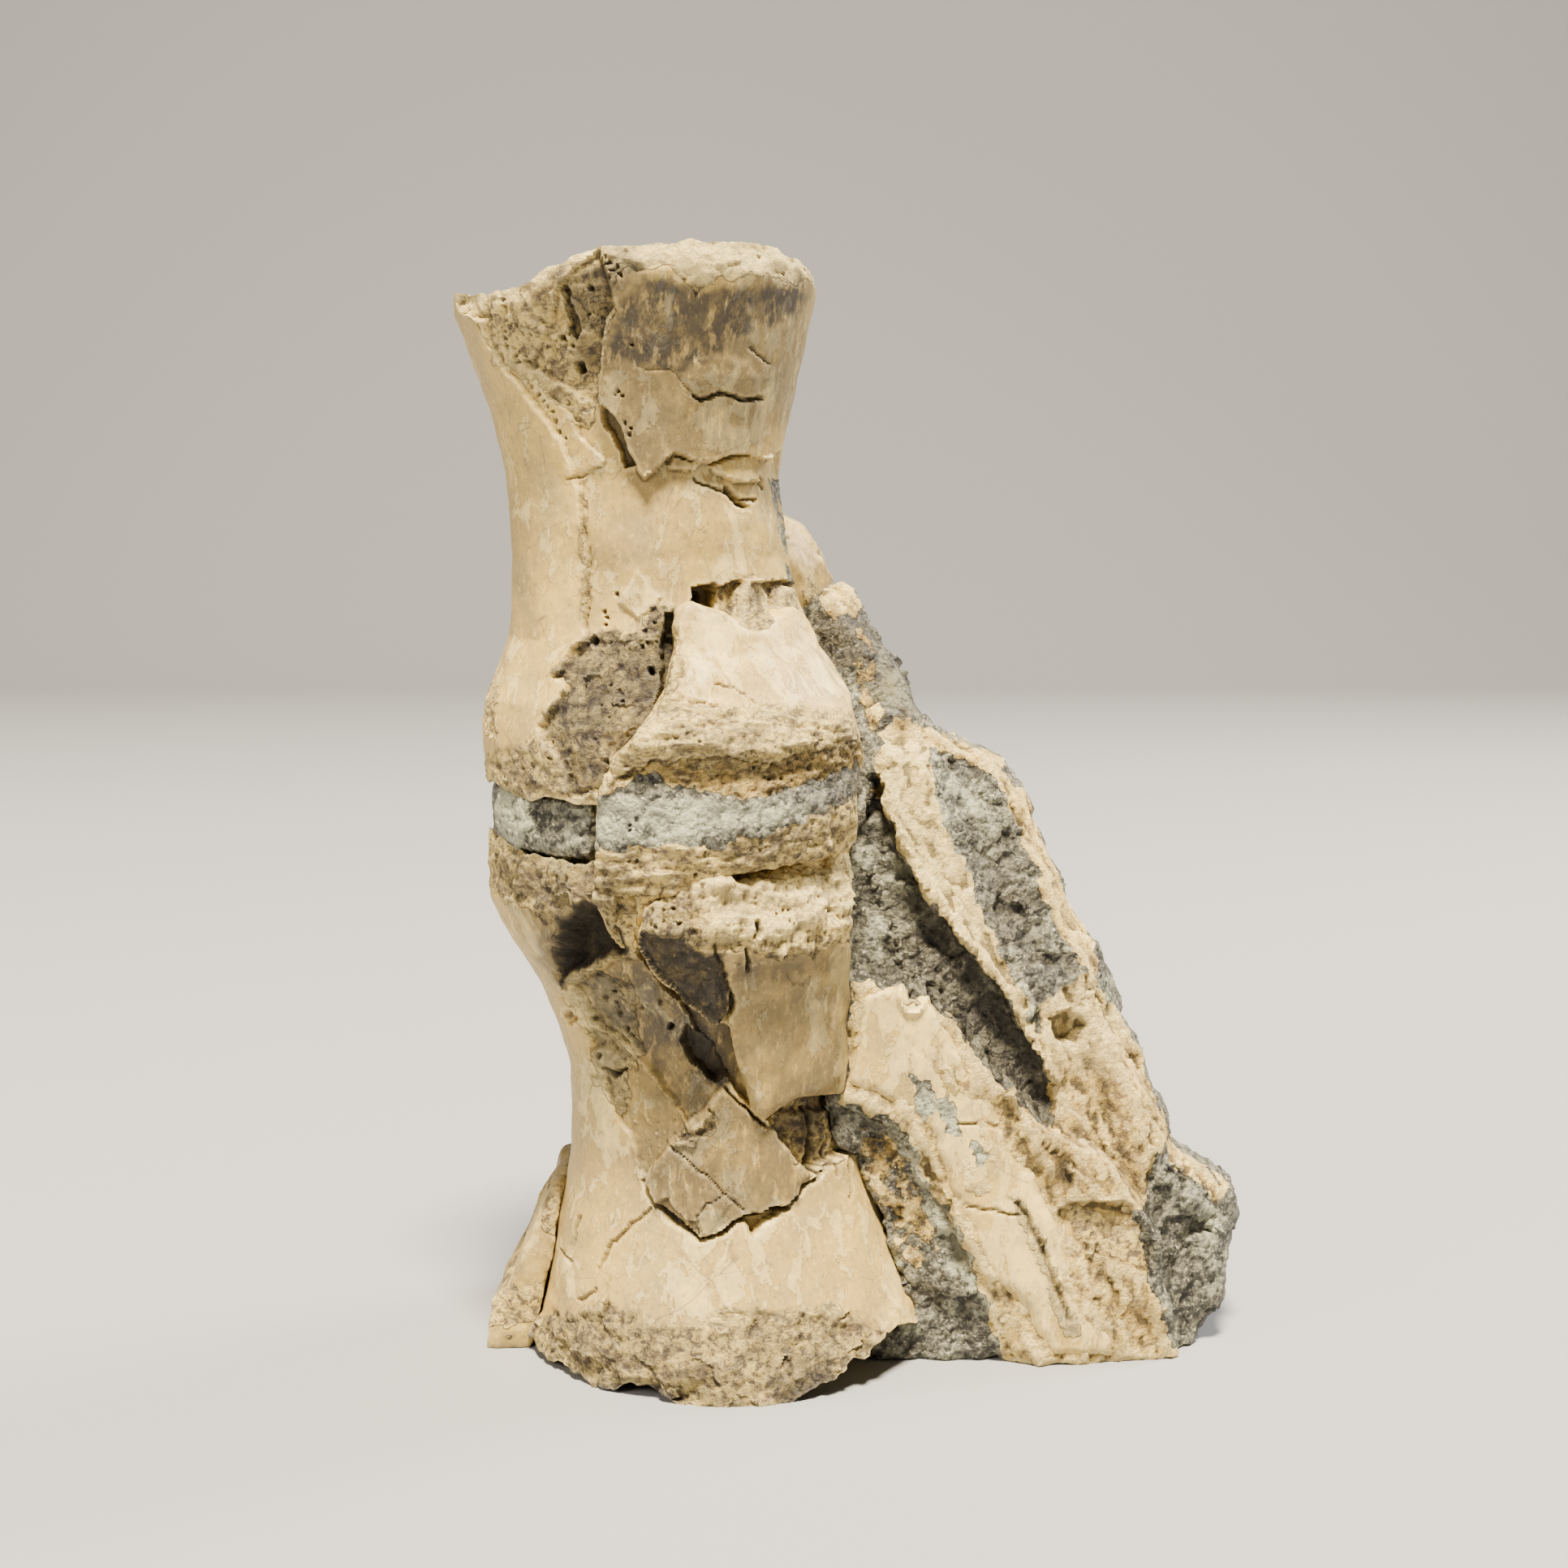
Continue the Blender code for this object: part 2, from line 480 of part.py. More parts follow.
def rib_slab(bone, neighbours):
    def front(x, z):
        return np.full(len(x), RIB_FRONT_Y)

    def back(x, z):
        return np.full(len(x), RIB_BACK_Y)

    mesh = slab(RIB_OUTLINE, front, back, FINE_VOXEL, 1.5)
    roughen(mesh, 0.4, 4.0, 37.0)
    return fitted("rib_slab", mesh, RIB_TRIANGLES, bone, neighbours)


def bone_end(bone, neighbours):
    """The rounded end of a bone that stands out of the back of the rock."""
    bm = bmesh.new()
    bmesh.ops.create_icosphere(bm, subdivisions=5, radius=1)
    bmesh.ops.scale(bm, verts=bm.verts, vec=BONE_END_RADII)
    bmesh.ops.translate(bm, verts=bm.verts, vec=BONE_END_CENTRE)
    mesh = mesh_of(bm, "bone_end")
    roughen(mesh, 1.2, 12.0, 41.0)
    return fitted("bone_end", mesh, BONE_END_TRIANGLES, bone, neighbours)


def nearness(x, z, line, width):
    """1 on the line, falling smoothly to 0 at that distance from it."""
    nearest = np.full(len(x), np.inf)
    for (ax, az), (bx, bz) in zip(line, line[1:]):
        dx, dz = bx - ax, bz - az
        share = np.clip(((x - ax) * dx + (z - az) * dz) / (dx * dx + dz * dz), 0, 1)
        nearest = np.minimum(nearest, np.hypot(x - ax - share * dx, z - az - share * dz))
    return step(width - nearest, width)


def side_rock(rock, neighbours):
    def front(x, z):
        y = surface_through(x, z, ROCK_FRONT, 7.0)
        for outline, depth, slope in ROCK_FIELDS:
            y += depth * step(inside_by(x, z, outline), slope)
        for line, height, width in ROCK_RIDGES:
            y -= height * nearness(x, z, line, width)
        return y

    def back(x, z):
        return surface_through(x, z, ROCK_BACK, 12.0)

    mesh = slab(ROCK_OUTLINE, front, back, COARSE_VOXEL, 5.0)
    roughen(mesh, 1.1, 7.0, 43.0)
    return fitted("side_rock", mesh, ROCK_TRIANGLES, rock, neighbours)


def centre_on_base(pieces):
    """Moves every mesh so that the origin is under the middle of the whole."""
    for mesh in {item.data for item in bpy.data.objects if item.type == "MESH"}:
        set_coordinates(mesh, coordinates(mesh) - np.array([BASE_MIDDLE[0], BASE_MIDDLE[1], 0]) * MM)
    points = np.concatenate([coordinates(piece.data) for piece in pieces]) / MM
    print("from", points.min(0).round(2), "to", points.max(0).round(2), "mm")


def main():
    for item in list(bpy.data.objects):
        bpy.data.objects.remove(item)
    bone = material("fossil bone", BONE_COLOUR, 0.75)
    rock = material("dark limestone", ROCK_COLOUR, 0.85)
    upper = upper_spool(bone)
    lower = lower_spool(bone)
    joint = joint_rock(rock, [upper, lower])
    wedge = front_wedge(bone, [upper, lower, joint])
    shard = lower_shard(bone, [lower, wedge, joint])
    flank = flank_bone(bone, [lower, shard, wedge])
    rib = rib_slab(bone, [lower])
    end = bone_end(bone, [upper])
    pieces = [upper, lower, joint, wedge, shard, flank, rib, end]
    pieces.append(side_rock(rock, pieces))
    centre_on_base(pieces)


main()
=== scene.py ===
# %% [markdown]
# # An ichthyosaur bone fossil, finished for a close look
# Two spool-shaped bones stand end to end in a piece of the rock that they were buried in. The plain
# solids of that piece come from a CAD model, which stays the frame: each solid gets a finished copy
# with the breaks, pores, cracks and crusts that a hand lens would show, and a mineral surface on it.

# %% Load the frame
import math

import bmesh
import bpy
import numpy as np
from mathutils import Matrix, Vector


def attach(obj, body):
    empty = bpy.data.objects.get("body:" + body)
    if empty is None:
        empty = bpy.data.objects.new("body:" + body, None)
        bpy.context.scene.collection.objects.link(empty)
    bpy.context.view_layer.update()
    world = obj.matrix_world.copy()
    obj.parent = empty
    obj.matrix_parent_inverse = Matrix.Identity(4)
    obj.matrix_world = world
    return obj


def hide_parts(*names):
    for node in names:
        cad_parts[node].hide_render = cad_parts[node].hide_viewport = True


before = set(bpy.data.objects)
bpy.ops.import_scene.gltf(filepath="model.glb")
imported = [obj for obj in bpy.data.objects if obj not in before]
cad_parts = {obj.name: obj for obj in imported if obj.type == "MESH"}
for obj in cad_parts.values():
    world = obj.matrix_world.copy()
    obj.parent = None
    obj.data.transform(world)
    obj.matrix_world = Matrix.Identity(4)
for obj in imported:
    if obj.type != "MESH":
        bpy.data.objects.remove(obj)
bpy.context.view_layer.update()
MM = 0.001
print("solids:", sorted(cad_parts))

# %% [markdown]
# ## The view, and a drawing sheet on the front
# Most of what makes this fossil itself is on its front: which layer broke off where, and how each
# crack runs. Such marks could be sculpted, but nobody could read or correct them afterwards. Here
# they are given as places on a flat sheet, as on a technical illustration. The sheet is the camera's
# own frame, 1932 units wide. Every point of the fossil has a place (u, v) on it, and one unit is about
# a tenth of a millimetre on the bones.

# %% Camera and sheet
EYE = np.array([-10.0, -297.4, 105.0])  # in millimetres
PITCH = math.radians(5.66)  # downwards
LENS, SENSOR, SHEET = 50.0, 36.0, 1932
FOCAL = SHEET * LENS / SENSOR


def on_sheet(points):
    """The place (u, v) on the sheet of each point, which is in millimetres."""
    x, y, z = (points - EYE).T
    ahead = y * math.cos(PITCH) - z * math.sin(PITCH)
    above = y * math.sin(PITCH) + z * math.cos(PITCH)
    return SHEET / 2 + FOCAL * x / ahead, SHEET / 2 - FOCAL * above / ahead


lens = bpy.data.cameras.new("camera")
lens.lens, lens.sensor_width = LENS, SENSOR
camera = bpy.data.objects.new("camera", lens)
bpy.context.scene.collection.objects.link(camera)
camera.location = Vector(EYE) * MM
camera.rotation_euler = (math.pi / 2 - PITCH, 0, 0)
bpy.context.scene.camera = camera
TO_BONES = 275  # millimetres from the eye to the front of the bones
print("one sheet unit at the bones is", round(TO_BONES / FOCAL, 3), "mm")

# %% [markdown]
# ## Tools for outlines, cracks and grain
# A broken layer is an outline on the sheet, and what matters is how far inside it a point lies. A
# crack is a line, and what matters is how near it is. Both could be cut with a Boolean, but the cut
# would be as clean as a saw's. Stone never breaks along a ruler, so each place is first nudged by a
# little noise, which turns a drawn corner into a natural break.

# %% Outline and line tools
def near_line(u, v, line):
    """The distance of each place from a line of points."""
    nearest = np.full(len(u), np.inf)
    for (au, av), (bu, bv) in zip(line, line[1:]):
        du, dv = bu - au, bv - av
        share = np.clip(((u - au) * du + (v - av) * dv) / (du * du + dv * dv + 1e-9), 0, 1)
        nearest = np.minimum(nearest, np.hypot(u - au - share * du, v - av - share * dv))
    return nearest


def inside_by(u, v, outline):
    """How far each place is inside the outline, and below 0 outside it."""
    inside = np.zeros(len(u), bool)
    for (au, av), (bu, bv) in zip(outline, outline[1:] + outline[:1]):
        crosses = (av > v) != (bv > v)
        inside ^= crosses & (u < au + (v - av) * (bu - au) / ((bv - av) or 1e-9))
    nearest = near_line(u, v, outline + outline[:1])
    return np.where(inside, nearest, -nearest)


def step(distance, width):
    """0 below 0, 1 past the width, and smooth between."""
    share = np.clip(distance / width, 0, 1)
    return share * share * (3 - 2 * share)


square = [(0, 0), (10, 0), (10, 10), (0, 10)]
print("in a square of 10, places on its middle line lie",
      inside_by(np.array([-2.0, 1.0, 5.0]), np.full(3, 5.0), square), "inside it")


# %% [markdown]
# ### Grain
# Relief comes from a few kinds of noise, worked out from each point's place alone, so that the same
# point always gets the same grain. Smooth waves make lumps, folded waves make crests, scattered beads
# make pores and sand, and facets at random tilts make chips. Displace modifiers add noise too, but
# here each kind of grain can fade in and out with what the surface is like at a point.

# %% Grain tools
MIXERS = (73856093, 19349663, 83492791, 6542989)  # large and odd, so that they mix a place's bits


def scrambled(cell, seed):
    """A well-mixed whole number for each cell of a grid."""
    x, y, z = cell.T
    number = x * MIXERS[0] ^ y * MIXERS[1] ^ z * MIXERS[2] ^ (seed + 11) * MIXERS[3]
    number = (number ^ (number >> 13)) * 1274126177 & 0x7FFFFFFF
    return (number ^ (number >> 11)) * 668265263 & 0x3FFFFFFF


def three_shares(number):
    """Three shares of 0 to 1 out of each number."""
    return np.column_stack([number & 1023, number >> 10 & 1023, number >> 20 & 1023]) / 1023


def waves(points, size, seed):
    """Smooth noise of about -1 to 1, in lumps of that size."""
    place = points / size + seed * 7.31
    cell = np.floor(place).astype(np.int64)
    part = place - cell
    ease = part ** 3 * (part * (part * 6 - 15) + 10)
    total = np.zeros(len(points))
    for corner in np.ndindex(2, 2, 2):
        lean = three_shares(scrambled(cell + corner, seed)) * 2 - 1
        weight = np.prod(np.where(corner, ease, 1 - ease), axis=1)
        total += weight * (lean * (part - corner)).sum(1)
    return total * 1.6


def lumps(points, size, seed, octaves=4, stretch=(1, 1, 1)):
    """Noise with finer and finer grain, each half as large and half as strong."""
    points = points / np.array(stretch)
    layers = [waves(points, size / 2 ** k, seed + k) / 2 ** k for k in range(octaves)]
    return sum(layers)


def ridges(points, size, seed, octaves=4, stretch=(1, 1, 1)):
    """Noise with sharp crests, of about -0.3 to 1, as on broken stone."""
    points = points / np.array(stretch)
    layers = [(1 - 2 * np.abs(waves(points, size / 2 ** k, seed + k))) / 2 ** k for k in range(octaves)]
    return sum(layers) / 2


def beads(points, size, seed):
    """For each point, the distance to the nearest of many scattered beads, in bead spacings."""
    place = points / size
    cell = np.floor(place).astype(np.int64)
    nearest = np.full(len(points), 9.0)
    for corner in np.ndindex(3, 3, 3):
        there = cell + corner - 1
        centre = there + three_shares(scrambled(there, seed))
        nearest = np.minimum(nearest, ((place - centre) ** 2).sum(1))
    return np.sqrt(nearest)


def chips(points, size, seed):
    """Flat facets at random tilts, as broken stone has, of about -1 to 1."""
    place = points / size + 0.35 * np.column_stack([waves(points, size * 0.9, seed + k) for k in range(3)])
    cell = np.floor(place).astype(np.int64)
    nearest = np.full(len(points), 9.0)
    facet = np.zeros(len(points))
    for corner in np.ndindex(3, 3, 3):
        there = cell + corner - 1
        number = scrambled(there, seed)
        away = place - there - three_shares(number)
        distance = (away ** 2).sum(1)
        tilt = three_shares(scrambled(there, seed + 5)) * 2 - 1
        facet = np.where(distance < nearest, (away * tilt).sum(1), facet)
        nearest = np.minimum(nearest, distance)
    return facet


scattered = three_shares(scrambled(np.arange(3000).reshape(1000, 3), 1)) * 40
for tool in (waves, lumps, ridges, chips):
    found = tool(scattered, 6.0, 1)
    print(tool.__name__, "of 6 mm range from", round(found.min(), 2), "to", round(found.max(), 2))


# %% [markdown]
# ## Tools for meshes
# A finished piece starts as a smooth, evenly fine mesh. Its points are then moved in one go. A loop
# over a hundred thousand points is slow, so numpy holds them all in one array.

# %% Mesh tools
def points_of(mesh):
    found = np.empty(len(mesh.vertices) * 3, np.float32)
    mesh.vertices.foreach_get("co", found)
    return found.reshape(-1, 3).astype(float) / MM


def place_points(mesh, points):
    mesh.vertices.foreach_set("co", (points * MM).astype(np.float32).ravel())
    mesh.update()


def normals_of(mesh):
    found = np.empty(len(mesh.vertices) * 3, np.float32)
    mesh.vertex_normals.foreach_get("vector", found)
    return found.reshape(-1, 3).astype(float)


def edges_of(mesh):
    found = np.empty(len(mesh.edges) * 2, np.int32)
    mesh.edges.foreach_get("vertices", found)
    return found.reshape(-1, 2)


def smoothed(values, edges, rounds):
    """The values, one row for each point, averaged with their neighbours that many times."""
    first, second = edges.T
    count = np.bincount(edges.ravel(), minlength=len(values))[:, None]
    for _ in range(rounds):
        total = np.column_stack([np.bincount(first, column[second], len(values))
                                 + np.bincount(second, column[first], len(values))
                                 for column in values.T])
        values = (values + total / count) / 2
    return values


def paint(mesh, name, values):
    """Keeps a share of 0 to 1 on each point, for the material to read."""
    layer = mesh.attributes.new(name, "FLOAT", "POINT")
    layer.data.foreach_set("value", np.clip(values, 0, 1).astype(np.float32))


def object_of(name, mesh):
    piece = bpy.data.objects.new(name, mesh)
    bpy.context.scene.collection.objects.link(piece)
    return piece


def settle(piece):
    """Applies the piece's modifiers to its mesh."""
    bpy.context.view_layer.update()
    graph = bpy.context.evaluated_depsgraph_get()
    mesh = bpy.data.meshes.new_from_object(piece.evaluated_get(graph))
    piece.modifiers.clear()
    piece.data = mesh
    return mesh


bump, chain = np.array([[0.0], [1.0], [0.0]]), np.array([[0, 1], [1, 2]])
print("a bump of 1 is, smoothed once,", smoothed(bump, chain, 1).ravel())


# %% [markdown]
# ## Marks, and how they shape a surface
# Each piece has its own set of marks on the sheet, in a few kinds. A ledge is where a layer is
# missing: an outline with a depth and the width of its slope, in millimetres. A crack and a rise are
# lines with a half width on the sheet and a depth or height. A hole is a round pit. Cracks and holes
# also darken the colour, the deeper the darker, which is painted shade with some dirt. The other kinds
# only say what the surface looks like there: broken spongy bone, stained (partly painted shade), pale,
# dark (painted shade) or covered with rock. A layer could also be a plate of its own, but it is thinner
# than a millimetre and ends in a slope, so the marks sink and raise one whole skin. Shares such as
# stains are nudged further than edges, as stains spread.

# %% Ragged places
PX = 9.5  # sheet units in a millimetre, at the front of the bones
RAGGED_EDGE, RAGGED_STAIN = 3.5, 9.0  # how far an edge and a stain wander, in sheet units


def nudged(u, v, points, amount, seed):
    """The places u, v, each moved by up to about that many units, in a ragged way."""
    return (u + amount * (waves(points, 2.4, seed) + 0.5 * waves(points, 0.8, seed + 1)),
            v + amount * (waves(points, 2.4, seed + 2) + 0.5 * waves(points, 0.8, seed + 3)))


wandered = np.hypot(*nudged(np.zeros(1000), np.zeros(1000), scattered, RAGGED_EDGE, 1))
print("an edge wanders by up to", round(wandered.max(), 1), "sheet units")


# %% Depth and shares from marks
CRACK_SLOPE, HOLE_SLOPE = 0.8, 0.6  # as shares of a crack's half width and of a hole's radius


def sunk_by(u, v, marks):
    """How deep the marks sink each place, in millimetres, and how much painted shade, with some dirt, they
    put there.
    """
    depth, dirt_and_shade = np.zeros(len(u)), np.zeros(len(u))
    for outline, deep, slope in marks.get("ledges", []):
        depth = np.maximum(depth, deep * step(inside_by(u, v, outline), slope * PX))
    for outline, line, deep, reach in marks.get("tilts", []):
        inside = step(inside_by(u, v, outline), 0.5 * PX)
        depth += deep * inside * np.clip(near_line(u, v, line) / (reach * PX), 0, 1)
    for outline, high, slope in marks.get("flakes", []):
        depth -= high * step(inside_by(u, v, outline), slope * PX)
    for line, half_width, high in marks.get("rises", []):
        depth -= high * step(half_width - near_line(u, v, line), half_width)
    pits = [(near_line(u, v, line), half_width, deep, CRACK_SLOPE)
            for line, half_width, deep in marks.get("cracks", [])]
    pits += [(np.hypot(u - at[0], v - at[1]), radius, deep, HOLE_SLOPE)
             for at, radius, deep in marks.get("holes", [])]
    for away, reach, deep, slope in pits:
        share = step(reach - away, reach * slope)
        depth += deep * share
        # deeper cracks and holes are darker: painted shade, with some dirt
        dirt_and_shade = np.maximum(dirt_and_shade, min(1.0, deep * 1.2) * share)
    return depth, dirt_and_shade


def share_in(u, v, regions):
    """The share that the regions give each place. A region is an outline, a strength and a softness."""
    share = np.zeros(len(u))
    for outline, strength, softness in regions:
        share = np.maximum(share, strength * step(inside_by(u, v, outline) + softness / 2, softness))
    return share


trial = {"ledges": [(square, 2.0, 0.1)], "cracks": [([(-9, 5), (19, 5)], 2.0, 0.5)]}
for at in (-5.0, 3.0):
    deep, dirty = sunk_by(np.array([at]), np.array([5.0]), trial)
    print("on a trial ledge and crack, u", at, "is sunk by", deep.round(2), "with dirt", dirty.round(2))


# %% Apply marks to points
def spread(values, chosen):
    """The values at the chosen points, and 0 at all the others."""
    found = np.zeros(len(chosen))
    found[chosen] = values
    return found


def deepen(shares, kind, amount):
    """Raises the shares of that kind to that amount, where they are below it."""
    shares[kind] = np.maximum(shares[kind], amount)


def marked(points, facing, marks, seed):
    """The depth in millimetres that the marks sink each point, and the shares of each kind.

    facing is 1 where the surface faces the sheet, and 0 or less where no mark may reach it.
    """
    facing = facing + 0.12 * lumps(points, 7.0, seed + 40, 3)
    front = facing > -0.1
    seen, facing = points[front], facing[front]
    sinks, shows = step(facing - 0.05, 0.2), step(facing + 0.1, 0.15)
    across, down = on_sheet(seen)
    u, v = nudged(across, down, seen, marks.get("raggedness", RAGGED_EDGE), seed)
    depth, dirt_and_shade = sunk_by(u, v, marks)
    shares = {"dirt_and_shade": spread(dirt_and_shade * shows, front)}
    u, v = nudged(across, down, seen, RAGGED_STAIN, seed + 20)
    # the stain share darkens partly as a stain and partly as painted shade; dark is painted shade
    for kind in ("broken", "stain_and_shade", "pale", "rock", "dark"):
        shares[kind] = spread(share_in(u, v, marks.get(kind, [])) * shows, front)
    # the dark marks are painted shade, and join the painted shade of the cracks and holes
    deepen(shares, "dirt_and_shade", shares.pop("dark"))
    return spread(depth * sinks, front), shares


def count_marks(name, marks):
    print(name, {kind: len(made) for kind, made in marks.items() if kind != "raggedness"})


# %% [markdown]
# ### Paint for the material
# Pits and hollows are darkened, as painted shade with some dirt in it, and crests are lightened, as a
# painted highlight with some wear. Smoothing a copy of the surface finds both: a pit lies below its
# smoothed copy, and a crest above it. Pointiness, in the Geometry node, does this too, but only at the
# scale of one face, where two lengths of smoothing find small pits and broad hollows. What is found is
# painted on the points, next to the marks' shares, and the material reads it all.

# %% Paint a finished surface
FINE_ROUNDS, BROAD_ROUNDS = 6, 60  # of smoothing, which finds small pits and broad hollows
FINE_GAIN, BROAD_GAIN = 2.5, 0.8  # change of the share for each millimetre, up or down from a half
SHARP_EDGE = math.radians(40)


def finish_surface(piece, shares, material):
    """Finds the piece's own hollows and crests, and paints everything that the material reads."""
    mesh = piece.data
    edges = edges_of(mesh)
    points, normals = points_of(mesh), normals_of(mesh)
    fine = ((smoothed(points, edges, FINE_ROUNDS) - points) * normals).sum(1)
    broad = ((smoothed(points, edges, BROAD_ROUNDS) - points) * normals).sum(1)
    # pit and hollow drive the painted shade in pits and hollows, and the painted highlight on crests
    paint(mesh, "pit", 0.5 + fine * FINE_GAIN)
    paint(mesh, "hollow", 0.5 + broad * BROAD_GAIN)
    for kind, share in shares.items():
        paint(mesh, kind, share)
    mesh.materials.clear()
    mesh.materials.append(material)
    mesh.shade_smooth()
    mesh.set_sharp_from_angle(angle=SHARP_EDGE)
    mesh.calc_loop_triangles()
    print(piece.name, len(mesh.loop_triangles), "triangles")


# %% [markdown]
# ## Shader groups for bone and rock
# The two finishes are each a node group, because every piece shows some of both: rock clings to the
# bones, and bone shows in the rock. Two plain materials would meet in a line of faces. A group takes
# the painted shares, adds patterns fixed to the object, and gives a colour, a roughness and a height.

# %% Groups and links
def new_group(name, inputs, outputs):
    group = bpy.data.node_groups.new(name, "ShaderNodeTree")
    for label, kind in inputs:
        group.interface.new_socket(label, in_out="INPUT", socket_type=kind)
    for label, kind in outputs:
        group.interface.new_socket(label, in_out="OUTPUT", socket_type=kind)
    return group, group.nodes.new("NodeGroupInput"), group.nodes.new("NodeGroupOutput")


def feed(tree, socket, value):
    """Links a value that comes out of another node, and sets any other value."""
    if isinstance(value, bpy.types.NodeSocket):
        tree.links.new(value, socket)
    else:
        socket.default_value = value


# %% Node tools for numbers
def calculate(tree, operation, first, second=0.0, third=0.0, clamp=False):
    made = tree.nodes.new("ShaderNodeMath")
    made.operation, made.use_clamp = operation, clamp
    for socket, value in zip(made.inputs, (first, second, third)):
        feed(tree, socket, value)
    return made.outputs[0]


def plus(tree, *values):
    total = values[0]
    for value in values[1:]:
        total = calculate(tree, "ADD", total, value)
    return total


def times(tree, first, second, clamp=False):
    return calculate(tree, "MULTIPLY", first, second, clamp=clamp)


def swing(tree, value, strength):
    """A value of 0 to 1, made to swing around 0 with that strength."""
    return calculate(tree, "MULTIPLY_ADD", value, strength, -strength / 2)


def ramp(tree, value, low, high, to_low=0.0, to_high=1.0):
    """The value's place between low and high, eased, as a place between to_low and to_high."""
    made = tree.nodes.new("ShaderNodeMapRange")
    made.interpolation_type = "SMOOTHSTEP"
    for socket, given in zip(made.inputs, (value, low, high, to_low, to_high)):
        feed(tree, socket, given)
    return made.outputs[0]


# %% Node tools for colour
def blend_colours(tree, share, first, second, kind="MIX"):
    made = tree.nodes.new("ShaderNodeMix")
    made.data_type, made.blend_type = "RGBA", kind
    feed(tree, made.inputs[0], share)
    for socket, colour in zip(made.inputs[6:8], (first, second)):
        feed(tree, socket, colour if isinstance(colour, bpy.types.NodeSocket) else (*colour, 1))
    return made.outputs[2]


def tint(tree, colour, over, value, low, high, strength=1.0):
    """The colour, covered by the other one where the value has passed from low to high."""
    return blend_colours(tree, ramp(tree, value, low, high, 0.0, strength), colour, over)


# %% Node tools for patterns
def pattern(tree, size, detail=4.0, stretch=(1, 1, 1), roughness=0.55, distortion=0.0):
    """Cloudy noise of 0 to 1, with lumps of that size in millimetres, stretched along an axis."""
    place = tree.nodes.new("ShaderNodeTexCoord")
    turned = tree.nodes.new("ShaderNodeMapping")
    turned.inputs["Scale"].default_value = [1 / part for part in stretch]
    tree.links.new(place.outputs["Object"], turned.inputs["Vector"])
    made = tree.nodes.new("ShaderNodeTexNoise")
    made.inputs["Scale"].default_value = 1 / (size * MM)
    made.inputs["Detail"].default_value = detail
    made.inputs["Roughness"].default_value = roughness
    made.inputs["Distortion"].default_value = distortion
    tree.links.new(turned.outputs[0], made.inputs["Vector"])
    return made.outputs["Fac"]


def speckles(tree, size, output="Distance", ragged=0.0, feature="F1"):
    """A pattern of scattered beads: the distance to the nearest one, or a value of its own for each."""
    place = tree.nodes.new("ShaderNodeTexCoord").outputs["Object"]
    if ragged:
        wander = tree.nodes.new("ShaderNodeTexNoise")
        wander.inputs["Scale"].default_value = 0.8 / (size * MM)
        wander.inputs["Detail"].default_value = 3.0
        tree.links.new(place, wander.inputs["Vector"])
        moved = tree.nodes.new("ShaderNodeVectorMath")
        moved.operation = "MULTIPLY_ADD"
        tree.links.new(wander.outputs["Color"], moved.inputs[0])
        moved.inputs[1].default_value = [ragged * size * MM] * 3
        tree.links.new(place, moved.inputs[2])
        place = moved.outputs[0]
    made = tree.nodes.new("ShaderNodeTexVoronoi")
    made.feature = feature
    made.inputs["Scale"].default_value = 1 / (size * MM)
    tree.links.new(place, made.inputs["Vector"])
    return made.outputs[output]


# %% [markdown]
# ### Whole bone
# Fossil bone is a warm tan with cream and grey patches a few millimetres wide, where the outermost
# film has flaked. An image wrapped round the bone would stretch and show a seam. Cloudy noise on Object
# coordinates has no seam, and gives both: softly cut for the patches, and sharply cut for the film,
# whose edges are crisp. Fine pepper and salt on top keeps it from looking like plastic.

# %% Bone group: whole bone
TAN, WARM_TAN, GREY_TAN = (0.40, 0.285, 0.105), (0.53, 0.37, 0.108), (0.33, 0.26, 0.122)
FLAKE, CREAM, WHITE_CREAM = (0.62, 0.50, 0.225), (0.83, 0.62, 0.21), (0.97, 0.785, 0.36)
BROWN, SHADE_AND_DIRT_BROWN = (0.15, 0.112, 0.078), (0.018, 0.014, 0.010)
STAIN_AND_SHADE_FILM = (0.12, 0.133, 0.25)

SHARES = ("Broken", "Stain_and_shade", "Pale", "Pit", "Hollow", "Dirt_and_shade")
INPUTS = [(name, "NodeSocketFloat") for name in SHARES]
RESULTS = [("Color", "NodeSocketColor"), ("Roughness", "NodeSocketFloat"), ("Height", "NodeSocketFloat")]
bone, given, result = new_group("fossil bone", INPUTS, RESULTS)
painted = given.outputs
colour = tint(bone, TAN, WARM_TAN, pattern(bone, 11.0, 5.0), 0.38, 0.62)
colour = tint(bone, colour, GREY_TAN, pattern(bone, 6.0, 4.0), 0.45, 0.7, 0.6)
flaking = plus(bone, pattern(bone, 3.2, 6.0, (1, 1, 1.8), 0.68, 0.5), times(bone, painted["Pale"], 0.16),
               swing(bone, pattern(bone, 14.0, 2.0), 0.3))
colour = tint(bone, colour, FLAKE, flaking, 0.56, 0.575, 0.7)
colour = tint(bone, colour, CREAM, flaking, 0.65, 0.67, 0.5)
peppering = pattern(bone, 0.6, 4.0, (1, 1, 1.5), 0.72)
colour = tint(bone, colour, CREAM, peppering, 0.54, 0.72, 0.65)
colour = tint(bone, colour, BROWN, peppering, 0.46, 0.28, 0.6)
hairline = ramp(bone, speckles(bone, 8.0, "Distance", 0.35, "DISTANCE_TO_EDGE"), 0.012, 0.0)
hairline = times(bone, hairline, ramp(bone, pattern(bone, 8.0, 2.0), 0.5, 0.62, 0.0, 0.6))
colour = blend_colours(bone, hairline, colour, BROWN)
print("whole bone:", len(bone.nodes), "nodes")
